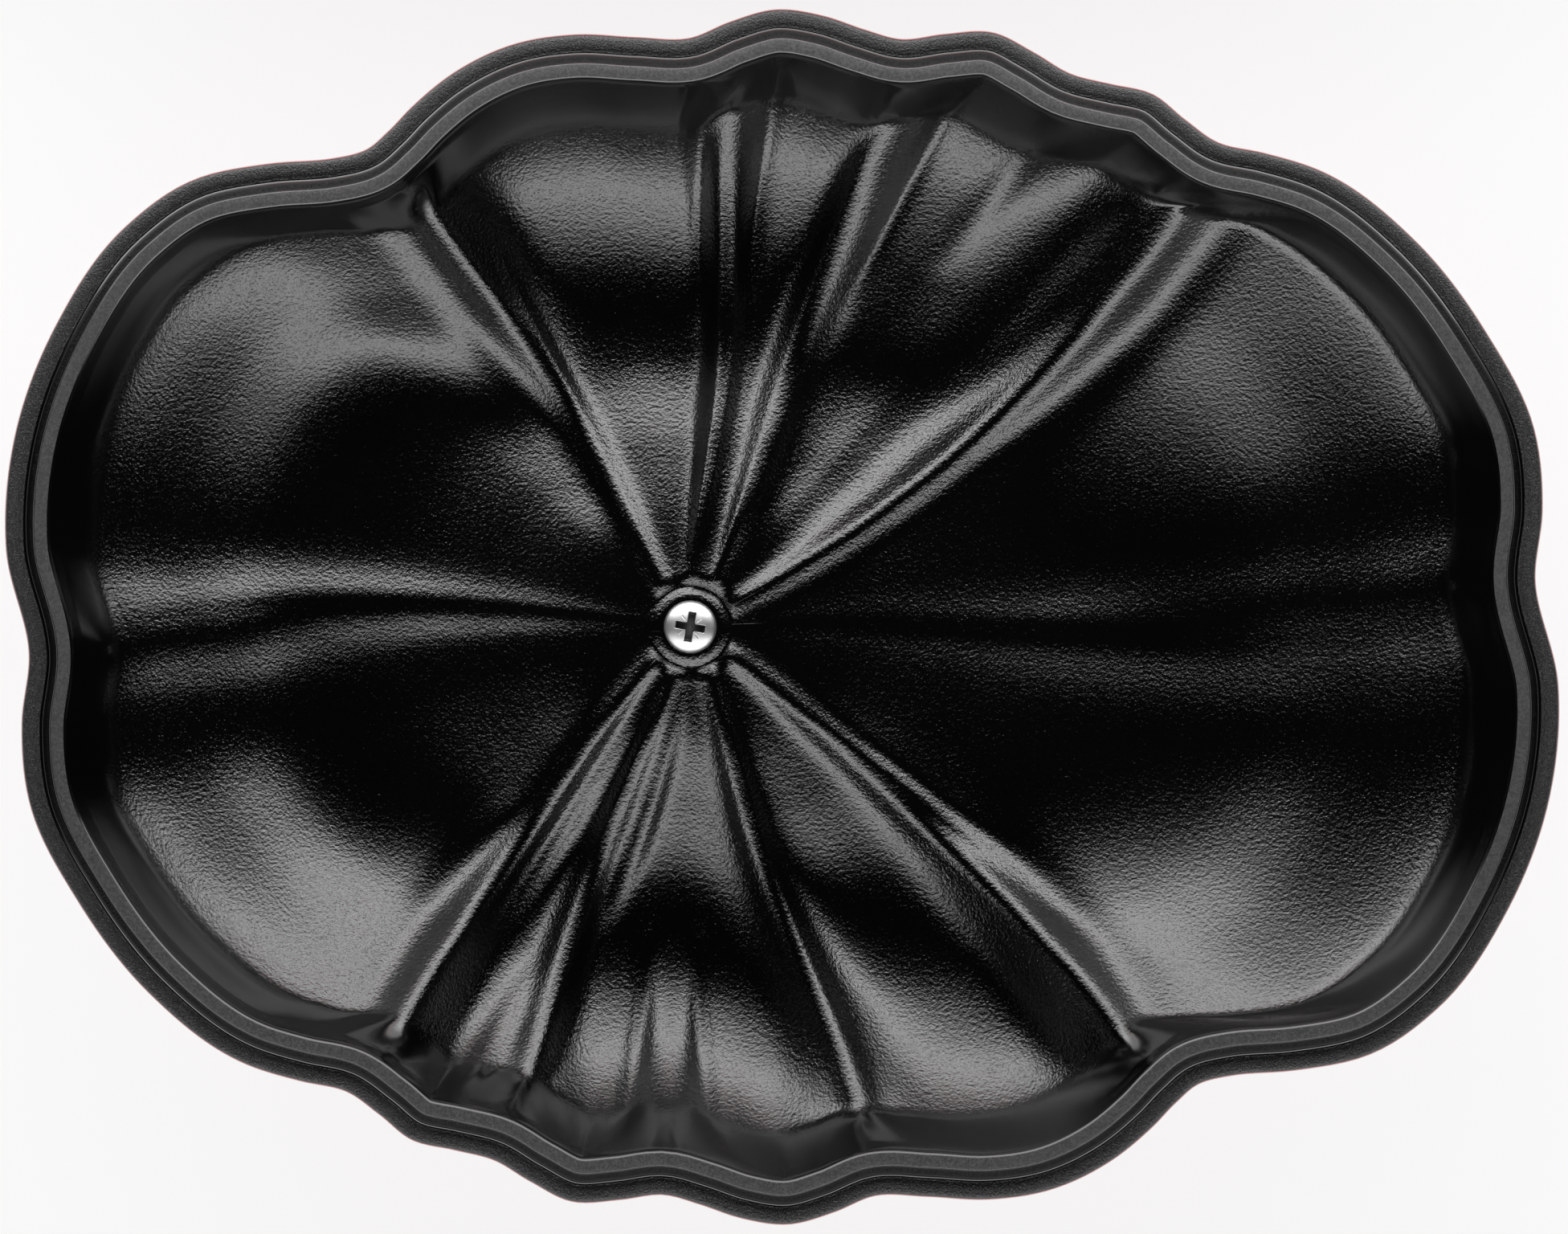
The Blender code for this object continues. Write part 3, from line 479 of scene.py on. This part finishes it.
def skin(name, grid, ring_closed, middle=(0.0, 0.0, 0.0), marks=None):
    """Closed mesh from a grid of rings: each joins the next, and the last the first, or both get a pole.

    The sum over the faces of each one's corner times its area vector tells which way they face, and they
    are turned round where that is inwards. marks are values kept at the points, by name.
    """
    rows, columns, _ = grid.shape
    points = grid.reshape(-1, 3)
    index = np.arange(rows * columns).reshape(rows, columns)
    near = index if ring_closed else index[:-1]
    far = np.roll(index, -1, axis=0) if ring_closed else index[1:]
    quads = np.stack((near, np.roll(near, -1, axis=1), np.roll(far, -1, axis=1), far), axis=-1)
    quads = quads.reshape(-1, 4)
    faces = quads.tolist()
    area = np.cross(points[quads[:, 2]] - points[quads[:, 0]], points[quads[:, 3]] - points[quads[:, 1]])
    inwards = np.sum(points[quads[:, 0]] * area) < 0.0
    if not ring_closed:
        poles = np.stack((grid[0].mean(axis=0), grid[-1].mean(axis=0)))
        first, last = len(points), len(points) + 1
        points = np.vstack((points, poles))
        ring = index[0]
        faces += np.stack((np.full(columns, first), np.roll(ring, -1), ring), axis=-1).tolist()
        ring = index[-1]
        faces += np.stack((np.full(columns, last), ring, np.roll(ring, -1)), axis=-1).tolist()
    if inwards:
        faces = [face[::-1] for face in faces]
    mesh = bpy.data.meshes.new(name)
    mesh.from_pydata(((points + np.array(middle)) * MM).tolist(), [], faces)
    for mark, values in (marks or {}).items():
        kept = mesh.attributes.new(mark, "FLOAT", "POINT")
        values = np.concatenate((values.ravel(), np.zeros(len(points) - values.size)))
        kept.data.foreach_set("value", values.astype(np.float32))
    mesh.shade_smooth()
    mesh.update()
    made = bpy.data.objects.new(name, mesh)
    bpy.context.collection.objects.link(made)
    return made


# Boss and its hole, heights over the seat
HOLE = 2.8
BOSS_PROFILE = (
    (HOLE, -20.0), (HOLE, -16.3), (3.0, -16.05), (3.6, -16.0), (4.6, -16.0), (5.0, -16.05),
    (5.4, -16.19), (5.8, -16.38), (6.3, -16.64), (6.8, -16.87),
)
# Ways out at which the hollows have their rings, a little closer together towards the wall
RELIEF_RINGS = 60
RELIEF_WAYS = np.linspace(0.0, 1.0, RELIEF_RINGS) ** 0.9
# Section of the rim: distance in from the outline, height over the seat
WALL_TOP = ((8.6, -0.6), (8.1, 1.0), (7.75, 2.1), (7.5, 2.6))
GROUND = ((7.25, 2.85), (7.05, 2.98), (6.9, 3.0), (6.0, 3.0), (5.15, 3.0), (5.0, 2.96))
COVE = ((4.85, 2.75), (4.72, 2.3), (4.5, 1.75), (4.2, 1.1), (3.85, 0.5), (3.5, 0.1), (3.2, -0.12))
FLANGE = ((2.95, -0.18), (2.6, -0.1), (2.1, -0.02), (1.6, 0.0), (1.0, -0.01), (0.6, -0.05), (0.4, -0.14))
EDGE = ((0.25, -0.35), (0.12, -0.7), (0.02, -1.3), (0.0, -2.0), (0.05, -3.0))
SHOULDER = ((0.5, -4.6), (1.2, -6.6), (2.4, -8.9), (4.0, -11.2), (5.9, -13.2), (8.0, -14.9), (10.2, -16.4))
LID_WALL = 4.6
# The outside lies a wall's thickness under the inside. It keeps so much of the crests and of the ribs, and
# its crests are so much wider. Its rings run inwards.
OUTSIDE_KEEP = 0.85
OUTSIDE_RIBS = 0.3
OUTSIDE_WIDEN = 0.8
OUTSIDE_RINGS = 20
OUTSIDE_WAYS = np.linspace(0.94, 0.14, OUTSIDE_RINGS)
KNOB_SEAT = ((9.6, -23.8), (8.8, -23.5), (6.0, -23.5), (HOLE, -23.5), (HOLE, -21.5))

wall_angles, _ = column_angles(np.array([1.0]))
wall_points, wall_normals = rim_at(wall_angles[0])
boss_turn = np.radians(column_angles(np.array([0.0]))[0][0])
inside = relief(RELIEF_WAYS)
# Wall: from the foot of each hollow up to the seat. It leaves the foot at the hollow's own slope, and its
# height then grows as a power of the way across it, so that it stands steep at the top.
WALL_STEPS = 10
WALL_LEAN = 0.7
WALL_START = 0.75
WALL_POWER = 2.4
foot_ring = inside[-1]
top_ring = set_in(wall_points, wall_normals, WALL_TOP[:1])[0]
rise = (np.arange(1, WALL_STEPS + 1) / (WALL_STEPS + 1))[:, None, None]
lean = rise ** WALL_LEAN
steep = WALL_START * lean + (1.0 - WALL_START) * lean ** WALL_POWER
wall = foot_ring + (top_ring - foot_ring) * np.concatenate((lean, lean, steep), axis=-1)
outside = relief(OUTSIDE_WAYS, OUTSIDE_KEEP, OUTSIDE_WIDEN, OUTSIDE_RIBS)
outside[..., 2] -= LID_WALL
rim_rows = WALL_TOP + GROUND + COVE + FLANGE + EDGE + SHOULDER
lid_parts = (
    turned(STEM, BOSS_PROFILE, boss_turn), inside, wall,
    set_in(wall_points, wall_normals, rim_rows), outside, turned(STEM, KNOB_SEAT, boss_turn),
)
lid_grid = np.vstack(lid_parts)
starts = np.cumsum([0] + [len(part) for part in lid_parts])
# Distance in from the outline, kept for the bands of the rim: large on the hollows and on the boss
INSET_AT_BOSS = 30.0
INSET_OVER_WALL = 5.0
INSET_POWER = 6
inset = np.full(lid_grid.shape[:2], INSET_AT_BOSS)
nearer = RELIEF_WAYS[:, None] ** INSET_POWER
inset[starts[1]:starts[2]] = INSET_AT_BOSS - (INSET_AT_BOSS - FOOT_INSET) * nearer
inset[starts[2]:starts[3]] = FOOT_INSET - INSET_OVER_WALL * rise[:, :, 0]
inset[starts[3]:starts[4]] = np.array([d for d, _ in rim_rows])[:, None]
lid_middle = (LID_MIDDLE[0], LID_MIDDLE[1], SEAT_LEVEL)
lid = skin("lid_casting", lid_grid, True, lid_middle, {"inset": inset})

# Black enamel: glossy, with an orange peel in the hollows and a grain on the flange. The ground seat is
# bare iron, grey and speckled. A grey has its darkest and its lightest level. A band has its distances in
# from the outline, and the softness of its ends.
BLACK = (0.00077, 0.00165)
GROUND_GREY = (0.0162, 0.0612)
HOLLOW_FROM = (13.2, 15.5)
GROUND_BAND = (5.05, 7.1, 0.08)
FLANGE_BAND = (0.2, 3.1, 0.15)
STONE_SPECKS = (0.35, 0.68)
PEEL_DEPTH = 0.00015
BLACK_IOR = 1.75
black, coat = new_material("black_enamel_skin")
across = coat.node("ShaderNodeAttribute", {"attribute_name": "inset"}, {}, out="Fac")
hollow = across.rise(*HOLLOW_FROM)
ground = across.between(*GROUND_BAND)
flange = across.between(*FLANGE_BAND)
peel = coat.noise(1750.0, 2.0, 0.6)
fine = coat.noise(4200.0, 1.0, 0.5)
broad = coat.noise(28.0, 3.0, 0.6)
speck = coat.noise(3000.0, 3.0, 0.7)
tone = coat.mix(broad, grey(BLACK[0]), grey(BLACK[1]))
stone = coat.mix(speck.rise(*STONE_SPECKS), grey(GROUND_GREY[0]), grey(GROUND_GREY[1]))
rough = 0.10 + 0.04 * broad + 0.03 * fine + 0.35 * ground + 0.16 * flange
height = hollow * (0.8 * peel + 0.1 * fine) + (0.1 * ground + flange) * speck
coat.principled({
    "Base Color": coat.mix(ground, tone, stone), "Roughness": rough, "IOR": BLACK_IOR,
    "Normal": coat.bump(height, PEEL_DEPTH),
})


def tinted(colour, shares):
    """Colour with each of its red, green and blue multiplied by its own share."""
    return tuple(value * share for value, share in zip(colour, shares)) + (1.0,)


# Red enamel: a clear coat over a red that is deeper in some clouds and livelier in others
RED = (0.34, 0.010, 0.014)
RED_DEEP = (0.82, 0.7, 0.7)
RED_LIVELY = (1.12, 1.5, 1.3)
RED_PEEL_DEPTH = 0.000025
RED_IOR = 1.55
red, gloss = new_material("red_enamel_gloss")
broad = gloss.noise(16.0, 3.0, 0.6)
peel = gloss.noise(420.0, 1.0, 0.5)
gloss.principled({
    "Base Color": gloss.mix(broad, tinted(RED, RED_DEEP), tinted(RED, RED_LIVELY)),
    "Roughness": 0.10 + 0.08 * broad, "IOR": RED_IOR, "Coat Weight": 0.5, "Coat Roughness": 0.04,
    "Normal": gloss.bump(peel, RED_PEEL_DEPTH),
})

lid.data.materials.append(black)
lid.data.materials.append(red)
# Red from the flange's edge, along the outside, to the knob's seat
red_from = starts[3] + len(WALL_TOP + GROUND + COVE + FLANGE)
red_to = starts[5]
row_of_face = np.repeat(np.arange(len(lid_grid)), lid_grid.shape[1])
is_red = ((row_of_face >= red_from) & (row_of_face < red_to)).astype(np.int32)
lid.data.polygons.foreach_set("material_index", is_red)
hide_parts("lid")
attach(lid, "lid")

# Knob: cast stem with five sepals round its foot, plated with nickel and brushed satin. It stands on the
# table under the turned-over lid, and the screw through the lid's boss holds it.

KNOB_COLUMNS = 200
KNOB_TOP = -23.8
SEPALS = 5
SEPAL_LENGTH = 25.7
SEPAL_NOTCH = 12.6
SEPAL_LIFT = 0.20
SEPAL_FOOT = 8.8
SEPAL_POINT = 1.3
SEPAL_THINNEST = 0.75
VEIN_HEIGHT = 1.4
VEIN_POWER = 8
knob_turn = np.arange(KNOB_COLUMNS) * 2 * np.pi / KNOB_COLUMNS
# Profile of the stem below its foot: radius, height down from the face that meets the lid
STEM_PROFILE = (
    (8.9, 4.6), (8.1, 5.6), (7.65, 7.2), (7.4, 9.5), (7.25, 12.0), (7.2, 14.0), (7.35, 16.4), (7.85, 19.4),
    (8.9, 22.2), (10.2, 24.2), (10.85, 25.3), (10.98, 26.4), (10.9, 27.3), (10.5, 28.3), (9.7, 29.2),
    (8.5, 29.8), (7.0, 29.98), (3.0, 30.0),
)


def sepals(share, thick, turn):
    """Rings of the star that lies under the lid, one for each share of the way out and each thickness.

    A sepal reaches from the notch to the tip as a power of the raised cosine of so many times the turn. It
    sinks evenly outwards, is thickest along its middle, and has a vein there as a high power of the cosine.
    """
    wave = np.cos(SEPALS * turn)
    sepal = (0.5 + 0.5 * wave) ** SEPAL_POINT
    share, thick = np.array(share)[:, None], np.array(thick)[:, None]
    radius = SEPAL_FOOT + (SEPAL_NOTCH + (SEPAL_LENGTH - SEPAL_NOTCH) * sepal - SEPAL_FOOT) * share
    vein = np.where(thick > 0.0, VEIN_HEIGHT * wave ** VEIN_POWER * share * (1.0 - share), 0.0)
    drop = SEPAL_LIFT * (radius - SEPAL_FOOT) + thick * (SEPAL_THINNEST + (1.0 - SEPAL_THINNEST) * sepal)
    plan = STEM + radius[..., None] * np.stack((np.cos(turn), np.sin(turn)), axis=-1)
    return np.dstack((plan, KNOB_TOP - (drop + vein)))


# Sepals: shares of the way out on the side that meets the lid, then shares and thicknesses on the other
UNDER_SHARE = (0.0, 0.25, 0.5, 0.75, 0.92, 0.98)
OVER_SHARE = (1.0, 0.99, 0.95, 0.85, 0.7, 0.55, 0.4, 0.25, 0.1)
OVER_THICK = (0.5, 1.0, 1.5, 1.7, 1.95, 2.2, 2.5, 2.9, 3.5)
BORE_RADIUS = 2.5
BORE_DEPTH = 12.0
BORE_CHAMFER = 0.4
stem_profile = [(radius, KNOB_TOP - drop) for radius, drop in STEM_PROFILE]
bore = (
    (BORE_RADIUS, KNOB_TOP - BORE_DEPTH), (BORE_RADIUS, KNOB_TOP - BORE_CHAMFER),
    (BORE_RADIUS + BORE_CHAMFER, KNOB_TOP), (6.0, KNOB_TOP),
)
knob_grid = np.vstack((
    turned(STEM, bore, knob_turn),
    sepals(UNDER_SHARE, np.zeros(len(UNDER_SHARE)), knob_turn),
    sepals(OVER_SHARE, OVER_THICK, knob_turn),
    turned(STEM, stem_profile, knob_turn),
))
knob = skin("stem_knob", knob_grid, False, lid_middle)
NICKEL = (0.62, 0.59, 0.55)
NICKEL_DULL = (0.85, 0.85, 0.85)
NICKEL_BRIGHT = (1.1, 1.1, 1.1)
BRUSHED_DEPTH = 0.00001
plate, metal = new_material("satin_nickel")
streak = metal.noise(900.0, 2.0, 0.6, (1.0, 1.0, 6.0))
cloud = metal.noise(60.0, 2.0, 0.5)
metal.principled({
    "Base Color": metal.mix(cloud, tinted(NICKEL, NICKEL_DULL), tinted(NICKEL, NICKEL_BRIGHT)),
    "Metallic": 1.0, "Roughness": 0.16 + 0.12 * cloud + 0.06 * streak,
    "Normal": metal.bump(streak, BRUSHED_DEPTH),
})
knob.data.materials.append(plate)
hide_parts("knob")
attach(knob, "lid")

# Screw: bright steel, with a pan head 8.5 mm across and a pressed cross recess. It goes through the lid's
# boss into the knob's bore, and its head stands in the middle of the lid's inside.

SCREW_COLUMNS = 240
RECESS_TURN = np.radians(-10.0)
ARM_HALF = 0.62
ARM_REACH = 2.45
WEB_REACH = 1.45
RECESS_DEPTH = 1.7
RECESS_RISE = 0.22
# Fine lines between the arms: half width, where they start and end from the middle, and depth
TICK_HALF = 0.10
TICK_FROM = 1.35
TICK_TO = 2.25
TICK_DEPTH = 0.12
# Widths over which the sides of each slope: an arm's side and its end, the web, a line's side and its end
ARM_SLOPES = (0.14, 0.35)
WEB_SLOPE = 0.3
TICK_SLOPES = (0.06, 0.1)
HEAD_TOP = -13.1
HEAD_FLAT = 2.62
HEAD_RINGS = 46
DOME_RADIUS = 7.0
# Depth from which the recess has its full dull roughness, which the press leaves, and its full painted
# shade
DULL_AND_SHADE_FULL = 0.35
screw_turn = np.arange(SCREW_COLUMNS) * 2 * np.pi / SCREW_COLUMNS
# Head, from the rim of the flat top outwards and down, then the shank: radius, height over the seat
HEAD_SIDE = (
    (2.8, -13.68), (3.2, -13.87), (3.6, -14.1), (3.9, -14.32), (4.1, -14.52), (4.22, -14.78), (4.25, -15.1),
    (4.2, -15.5), (4.05, -15.68), (2.45, -15.7), (2.45, -24.0), (2.45, -34.9), (1.9, -35.7), (0.6, -35.8),
)


def ramp(inside, run):
    """0 outside an edge and 1 from so far inside it, with an even slope between."""
    return np.clip(inside / run, 0.0, 1.0)


def recess(radius, turn):
    """Depth of the cross: full inside four arms and a square web, nothing outside, with sloping sides."""
    x = np.abs(radius * np.cos(turn - RECESS_TURN))
    y = np.abs(radius * np.sin(turn - RECESS_TURN))
    along, beside = np.maximum(x, y), np.minimum(x, y)
    arm = ramp(ARM_HALF - beside, ARM_SLOPES[0]) * ramp(ARM_REACH - along, ARM_SLOPES[1])
    web = ramp(WEB_REACH - x - y, WEB_SLOPE)
    floor_depth = RECESS_DEPTH * (1.0 - RECESS_RISE * ramp(along, ARM_REACH))
    tick = ramp(TICK_HALF - np.abs(x - y), TICK_SLOPES[0])
    tick = tick * ramp(radius - TICK_FROM, TICK_SLOPES[1]) * ramp(TICK_TO - radius, TICK_SLOPES[1])
    return np.maximum(np.maximum(arm, web) * floor_depth, TICK_DEPTH * tick)


face_radius = np.linspace(0.12, HEAD_FLAT, HEAD_RINGS)
face_grid = turned(STEM, [(radius, HEAD_TOP) for radius in face_radius], screw_turn)
face_depth = recess(face_radius[:, None], screw_turn[None, :])
dome_depth = DOME_RADIUS - np.sqrt(DOME_RADIUS ** 2 - face_radius[:, None] ** 2)
face_grid[..., 2] -= face_depth
face_grid[..., 2] -= dome_depth
screw_grid = np.vstack((face_grid, turned(STEM, HEAD_SIDE, screw_turn)))
# Share of painted shade and of dull roughness in the recess, growing with its depth
recess_dull_and_shade = np.zeros(screw_grid.shape[:2])
recess_dull_and_shade[:len(face_radius)] = ramp(face_depth, DULL_AND_SHADE_FULL)
screw = skin("cross_screw", screw_grid, False, lid_middle, {"recess_dull_and_shade": recess_dull_and_shade})
STEEL = (0.6708, 0.858)
# Dark grey painted into the recess as shade, which it reaches with depth
RECESS_SHADE_GREY = 0.16
STEEL_GRAIN_DEPTH = 0.000008
steel, metal = new_material("bright_steel")
grain = metal.noise(3000.0, 2.0, 0.6)
worn = metal.noise(700.0, 1.0, 0.5)
# The recess's share of painted shade, as a darker base colour, and of dull roughness
dull_and_shade = metal.node("ShaderNodeAttribute", {"attribute_name": "recess_dull_and_shade"}, {}, out="Fac")
polished = metal.mix(worn, grey(STEEL[0]), grey(STEEL[1]))
metal.principled({
    "Base Color": metal.mix(dull_and_shade, polished, grey(RECESS_SHADE_GREY)), "Metallic": 1.0,
    "Roughness": 0.36 + 0.12 * worn + 0.15 * dull_and_shade, "Normal": metal.bump(grain, STEEL_GRAIN_DEPTH),
})
screw.data.materials.append(steel)
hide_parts("knob_screw")
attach(screw, "lid")

# Pot: one iron casting with its two loop handles cast on. Lobes at the rim fade into a plain oval foot. It
# has red enamel outside, and matt black enamel inside and on the rim.

POT_HEIGHT = 98.0
POT_WALL = 4.5
POT_FLOOR = 5.5
SEAT_WIDTH = 3.0
# Outside: share of the height, distance in from the rim's outline (less than nothing where it swells past
# it), and how far the lobes have faded into the oval
POT_SIDE = (
    (0.02, 30.0, 0.97), (0.06, 24.0, 0.9), (0.15, 15.0, 0.75), (0.28, 7.0, 0.55), (0.44, 1.2, 0.35),
    (0.62, -1.6, 0.18), (0.80, -1.75, 0.05), (0.94, -0.6, 0.0), (0.99, -0.1, 0.0),
)
# Under the foot, from the middle outwards: distance in, fade and height
POT_FOOT = ((60.0, 1.0, 0.6), (36.0, 1.0, 0.4), (34.2, 1.0, 0.0), (33.0, 1.0, 0.0), (31.6, 0.99, 0.55))
# Over the rim, from the outside in: distance in and height
POT_MOUTH = (
    (0.0, 97.0), (0.08, 97.5), (0.3, 97.85), (0.6, 98.0), (1.8, 98.0), (2.8, 98.0), (3.1, 97.85),
    (3.35, 97.5), (3.45, 96.9),
)
# The wall thins by so much just under the mouth, from this share of the height and over this share
MOUTH_THINNER = 1.0
MOUTH_FROM = 0.99
MOUTH_RUN = 0.05
POT_FOOT_INSET = 33.0
POT_MIDDLE_INSET = 60.0
OVAL_LENGTH = 242.0
OVAL_WIDTH = 194.0


def pot_ring(distance, fade, tall):
    """Ring of the pot: the rim's points turned over, set in, and drawn to an oval by the share fade."""
    near = min(distance, SEAT_WIDTH)
    points = wall_points - wall_normals * near
    radius = np.linalg.norm(points, axis=1)
    bearing = np.arctan2(-points[:, 1], points[:, 0])
    oval = 1.0 / np.hypot(2 * np.cos(bearing) / OVAL_LENGTH, 2 * np.sin(bearing) / OVAL_WIDTH)
    radius = radius + (oval - near - radius) * fade - (distance - near)
    plan = radius[:, None] * np.stack((np.cos(bearing), np.sin(bearing)), axis=1)
    return np.column_stack((plan, np.full(len(plan), tall)))


def side_at(share):
    """Distance in and fade of the pot's side at a share of its height."""
    distance = curve_through([(s, d) for s, d, _ in POT_SIDE], np.array([share]))[0]
    fade = curve_through([(s, f) for s, _, f in POT_SIDE], np.array([share]))[0]
    return distance, max(fade, 0.0)


# Heights of the rings as shares of the pot's height, closer together near the foot and the floor
outer_shares = np.concatenate((np.linspace(0.02, 0.2, 12), np.linspace(0.23, 0.98, 30)))
inner_shares = np.concatenate((np.linspace(0.96, 0.25, 24), np.linspace(0.22, 0.03, 12)))
pot_rows = [pot_ring(*row) for row in POT_FOOT]
pot_rows += [pot_ring(*side_at(share), share * POT_HEIGHT) for share in outer_shares]
first_mouth = len(pot_rows)
pot_rows += [pot_ring(distance, 0.0, tall) for distance, tall in POT_MOUTH]
for share in inner_shares:
    distance, fade = side_at(share)
    thinner = MOUTH_THINNER * (1.0 - min(1.0, (MOUTH_FROM - share) / MOUTH_RUN))
    tall = POT_FLOOR + (POT_HEIGHT - POT_FLOOR) * share
    pot_rows.append(pot_ring(distance + POT_WALL - thinner, fade, tall))
pot_rows.append(pot_ring(POT_FOOT_INSET + POT_WALL, 1.0, POT_FLOOR))
pot_rows.append(pot_ring(POT_MIDDLE_INSET, 1.0, POT_FLOOR))
pot = skin("pot_casting", np.array(pot_rows), False)
pot.data.materials.append(red)
MATT_BLACK = (0.005, 0.011)
MATT_PEEL_DEPTH = 0.00008
MATT_IOR = 1.6
matt_black, coat = new_material("matt_black_enamel")
peel = coat.noise(620.0, 1.5, 0.55)
fine = coat.noise(2200.0, 1.0, 0.5)
broad = coat.noise(24.0, 3.0, 0.6)
coat.principled({
    "Base Color": coat.mix(broad, grey(MATT_BLACK[0]), grey(MATT_BLACK[1])),
    "Roughness": 0.42 + 0.12 * broad, "IOR": MATT_IOR,
    "Normal": coat.bump(peel + 0.25 * fine, MATT_PEEL_DEPTH),
})
pot.data.materials.append(matt_black)
# Black from just over the outer edge of the mouth inwards, and on the fan of faces in the floor's middle
BLACK_FROM = first_mouth + 2
row_of_face = np.repeat(np.arange(len(pot_rows) - 1), len(wall_points))
inner_faces = (row_of_face >= BLACK_FROM).astype(np.int32)
fans = np.repeat([0, 1], len(wall_points))
pot.data.polygons.foreach_set("material_index", np.concatenate((inner_faces, fans)).astype(np.int32))
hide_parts("pot")
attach(pot, "pot")

# Handles: loops at the pot's two ends, cast in one with it, so they are red enamel too and run into the
# wall with a fillet. Each is a bar of rounded section, carried along a curve from root to root.

HANDLE_DROP = 15.0
HANDLE_SPREAD = 33.0
HANDLE_REACH = 156.9
HANDLE_WIDTH = 13.0
HANDLE_THICKNESS = 10.5
HANDLE_ROOT_DEPTH = 2.4
HANDLE_ROOT_RUN = 21.0
HANDLE_MIDDLE_RUN = 26.0
HANDLE_STEPS = 36
HANDLE_SIDES = 48
FILLET_SWELL = 0.34
FILLET_RUN = 3.2
# Power of the sine and cosine of the bar's section: 1 for an ellipse, less for a squarer one
SECTION_POWER = 0.85
# The wall's direction at a root is taken between two points so far on either side of it
ROOT_PROBE = 2.0
handle_level = POT_HEIGHT - HANDLE_DROP
handle_wall = pot_ring(*side_at(handle_level / POT_HEIGHT), handle_level)[:, :2]


def wall_root(across):
    """Point of the pot's right end with the given y, and the wall's outward normal there."""
    right = handle_wall[handle_wall[:, 0] > 0.5 * HANDLE_REACH]
    right = right[np.argsort(right[:, 1])]
    around = np.array([-ROOT_PROBE, 0.0, ROOT_PROBE]) + across
    line = np.column_stack((np.interp(around, right[:, 1], right[:, 0]), around))
    ahead = line[2] - line[0]
    normal = np.array([ahead[1], -ahead[0]])
    return line[1], normal / np.linalg.norm(normal)


def bezier(start, start_pull, end_pull, end, steps):
    """Points along a cubic curve from start to end, without the last one."""
    s = (np.arange(steps) / steps)[:, None]
    near = (1 - s) ** 3 * start + 3 * s * (1 - s) ** 2 * start_pull
    return near + 3 * s ** 2 * (1 - s) * end_pull + s ** 3 * end


upper, upper_normal = wall_root(HANDLE_SPREAD)
lower, lower_normal = wall_root(-HANDLE_SPREAD)
crown = np.array([HANDLE_REACH - 0.5 * HANDLE_WIDTH, 0.0])
pull = np.array([0.0, HANDLE_MIDDLE_RUN])
start = upper - upper_normal * HANDLE_ROOT_DEPTH
end = lower - lower_normal * HANDLE_ROOT_DEPTH
path = np.vstack((
    bezier(start, upper + upper_normal * HANDLE_ROOT_RUN, crown + pull, crown, HANDLE_STEPS),
    bezier(crown, crown - pull, lower + lower_normal * HANDLE_ROOT_RUN, end, HANDLE_STEPS),
    end,
))
ahead = np.gradient(path, axis=0)
ahead[0] = upper_normal
ahead[-1] = -lower_normal
ahead /= np.linalg.norm(ahead, axis=1)[:, None]
square = np.stack((ahead[:, 1], -ahead[:, 0]), axis=1)
# Fillet: the bar's section grows towards both roots, as the exponential of the distance along it
step = np.linalg.norm(np.diff(path, axis=0), axis=1)
gone = np.concatenate(([0.0], np.cumsum(step)))
from_root = np.minimum(gone, gone[-1] - gone)
grown = 1.0 + FILLET_SWELL * np.exp(-from_root / FILLET_RUN)
turn = np.arange(HANDLE_SIDES) * 2 * np.pi / HANDLE_SIDES
wide = 0.5 * HANDLE_WIDTH * np.sign(np.cos(turn)) * np.abs(np.cos(turn)) ** SECTION_POWER
tall = 0.5 * HANDLE_THICKNESS * np.sign(np.sin(turn)) * np.abs(np.sin(turn)) ** SECTION_POWER
plan = path[:, None, :] + (grown[:, None] * wide[None, :])[..., None] * square[:, None, :]
heights = handle_level + grown[:, None] * tall[None, :]
for side, name in ((1.0, "handle_right"), (-1.0, "handle_left")):
    handle = skin(name, np.dstack((side * plan, heights)), False)
    handle.data.materials.append(red)
    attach(handle, "pot")
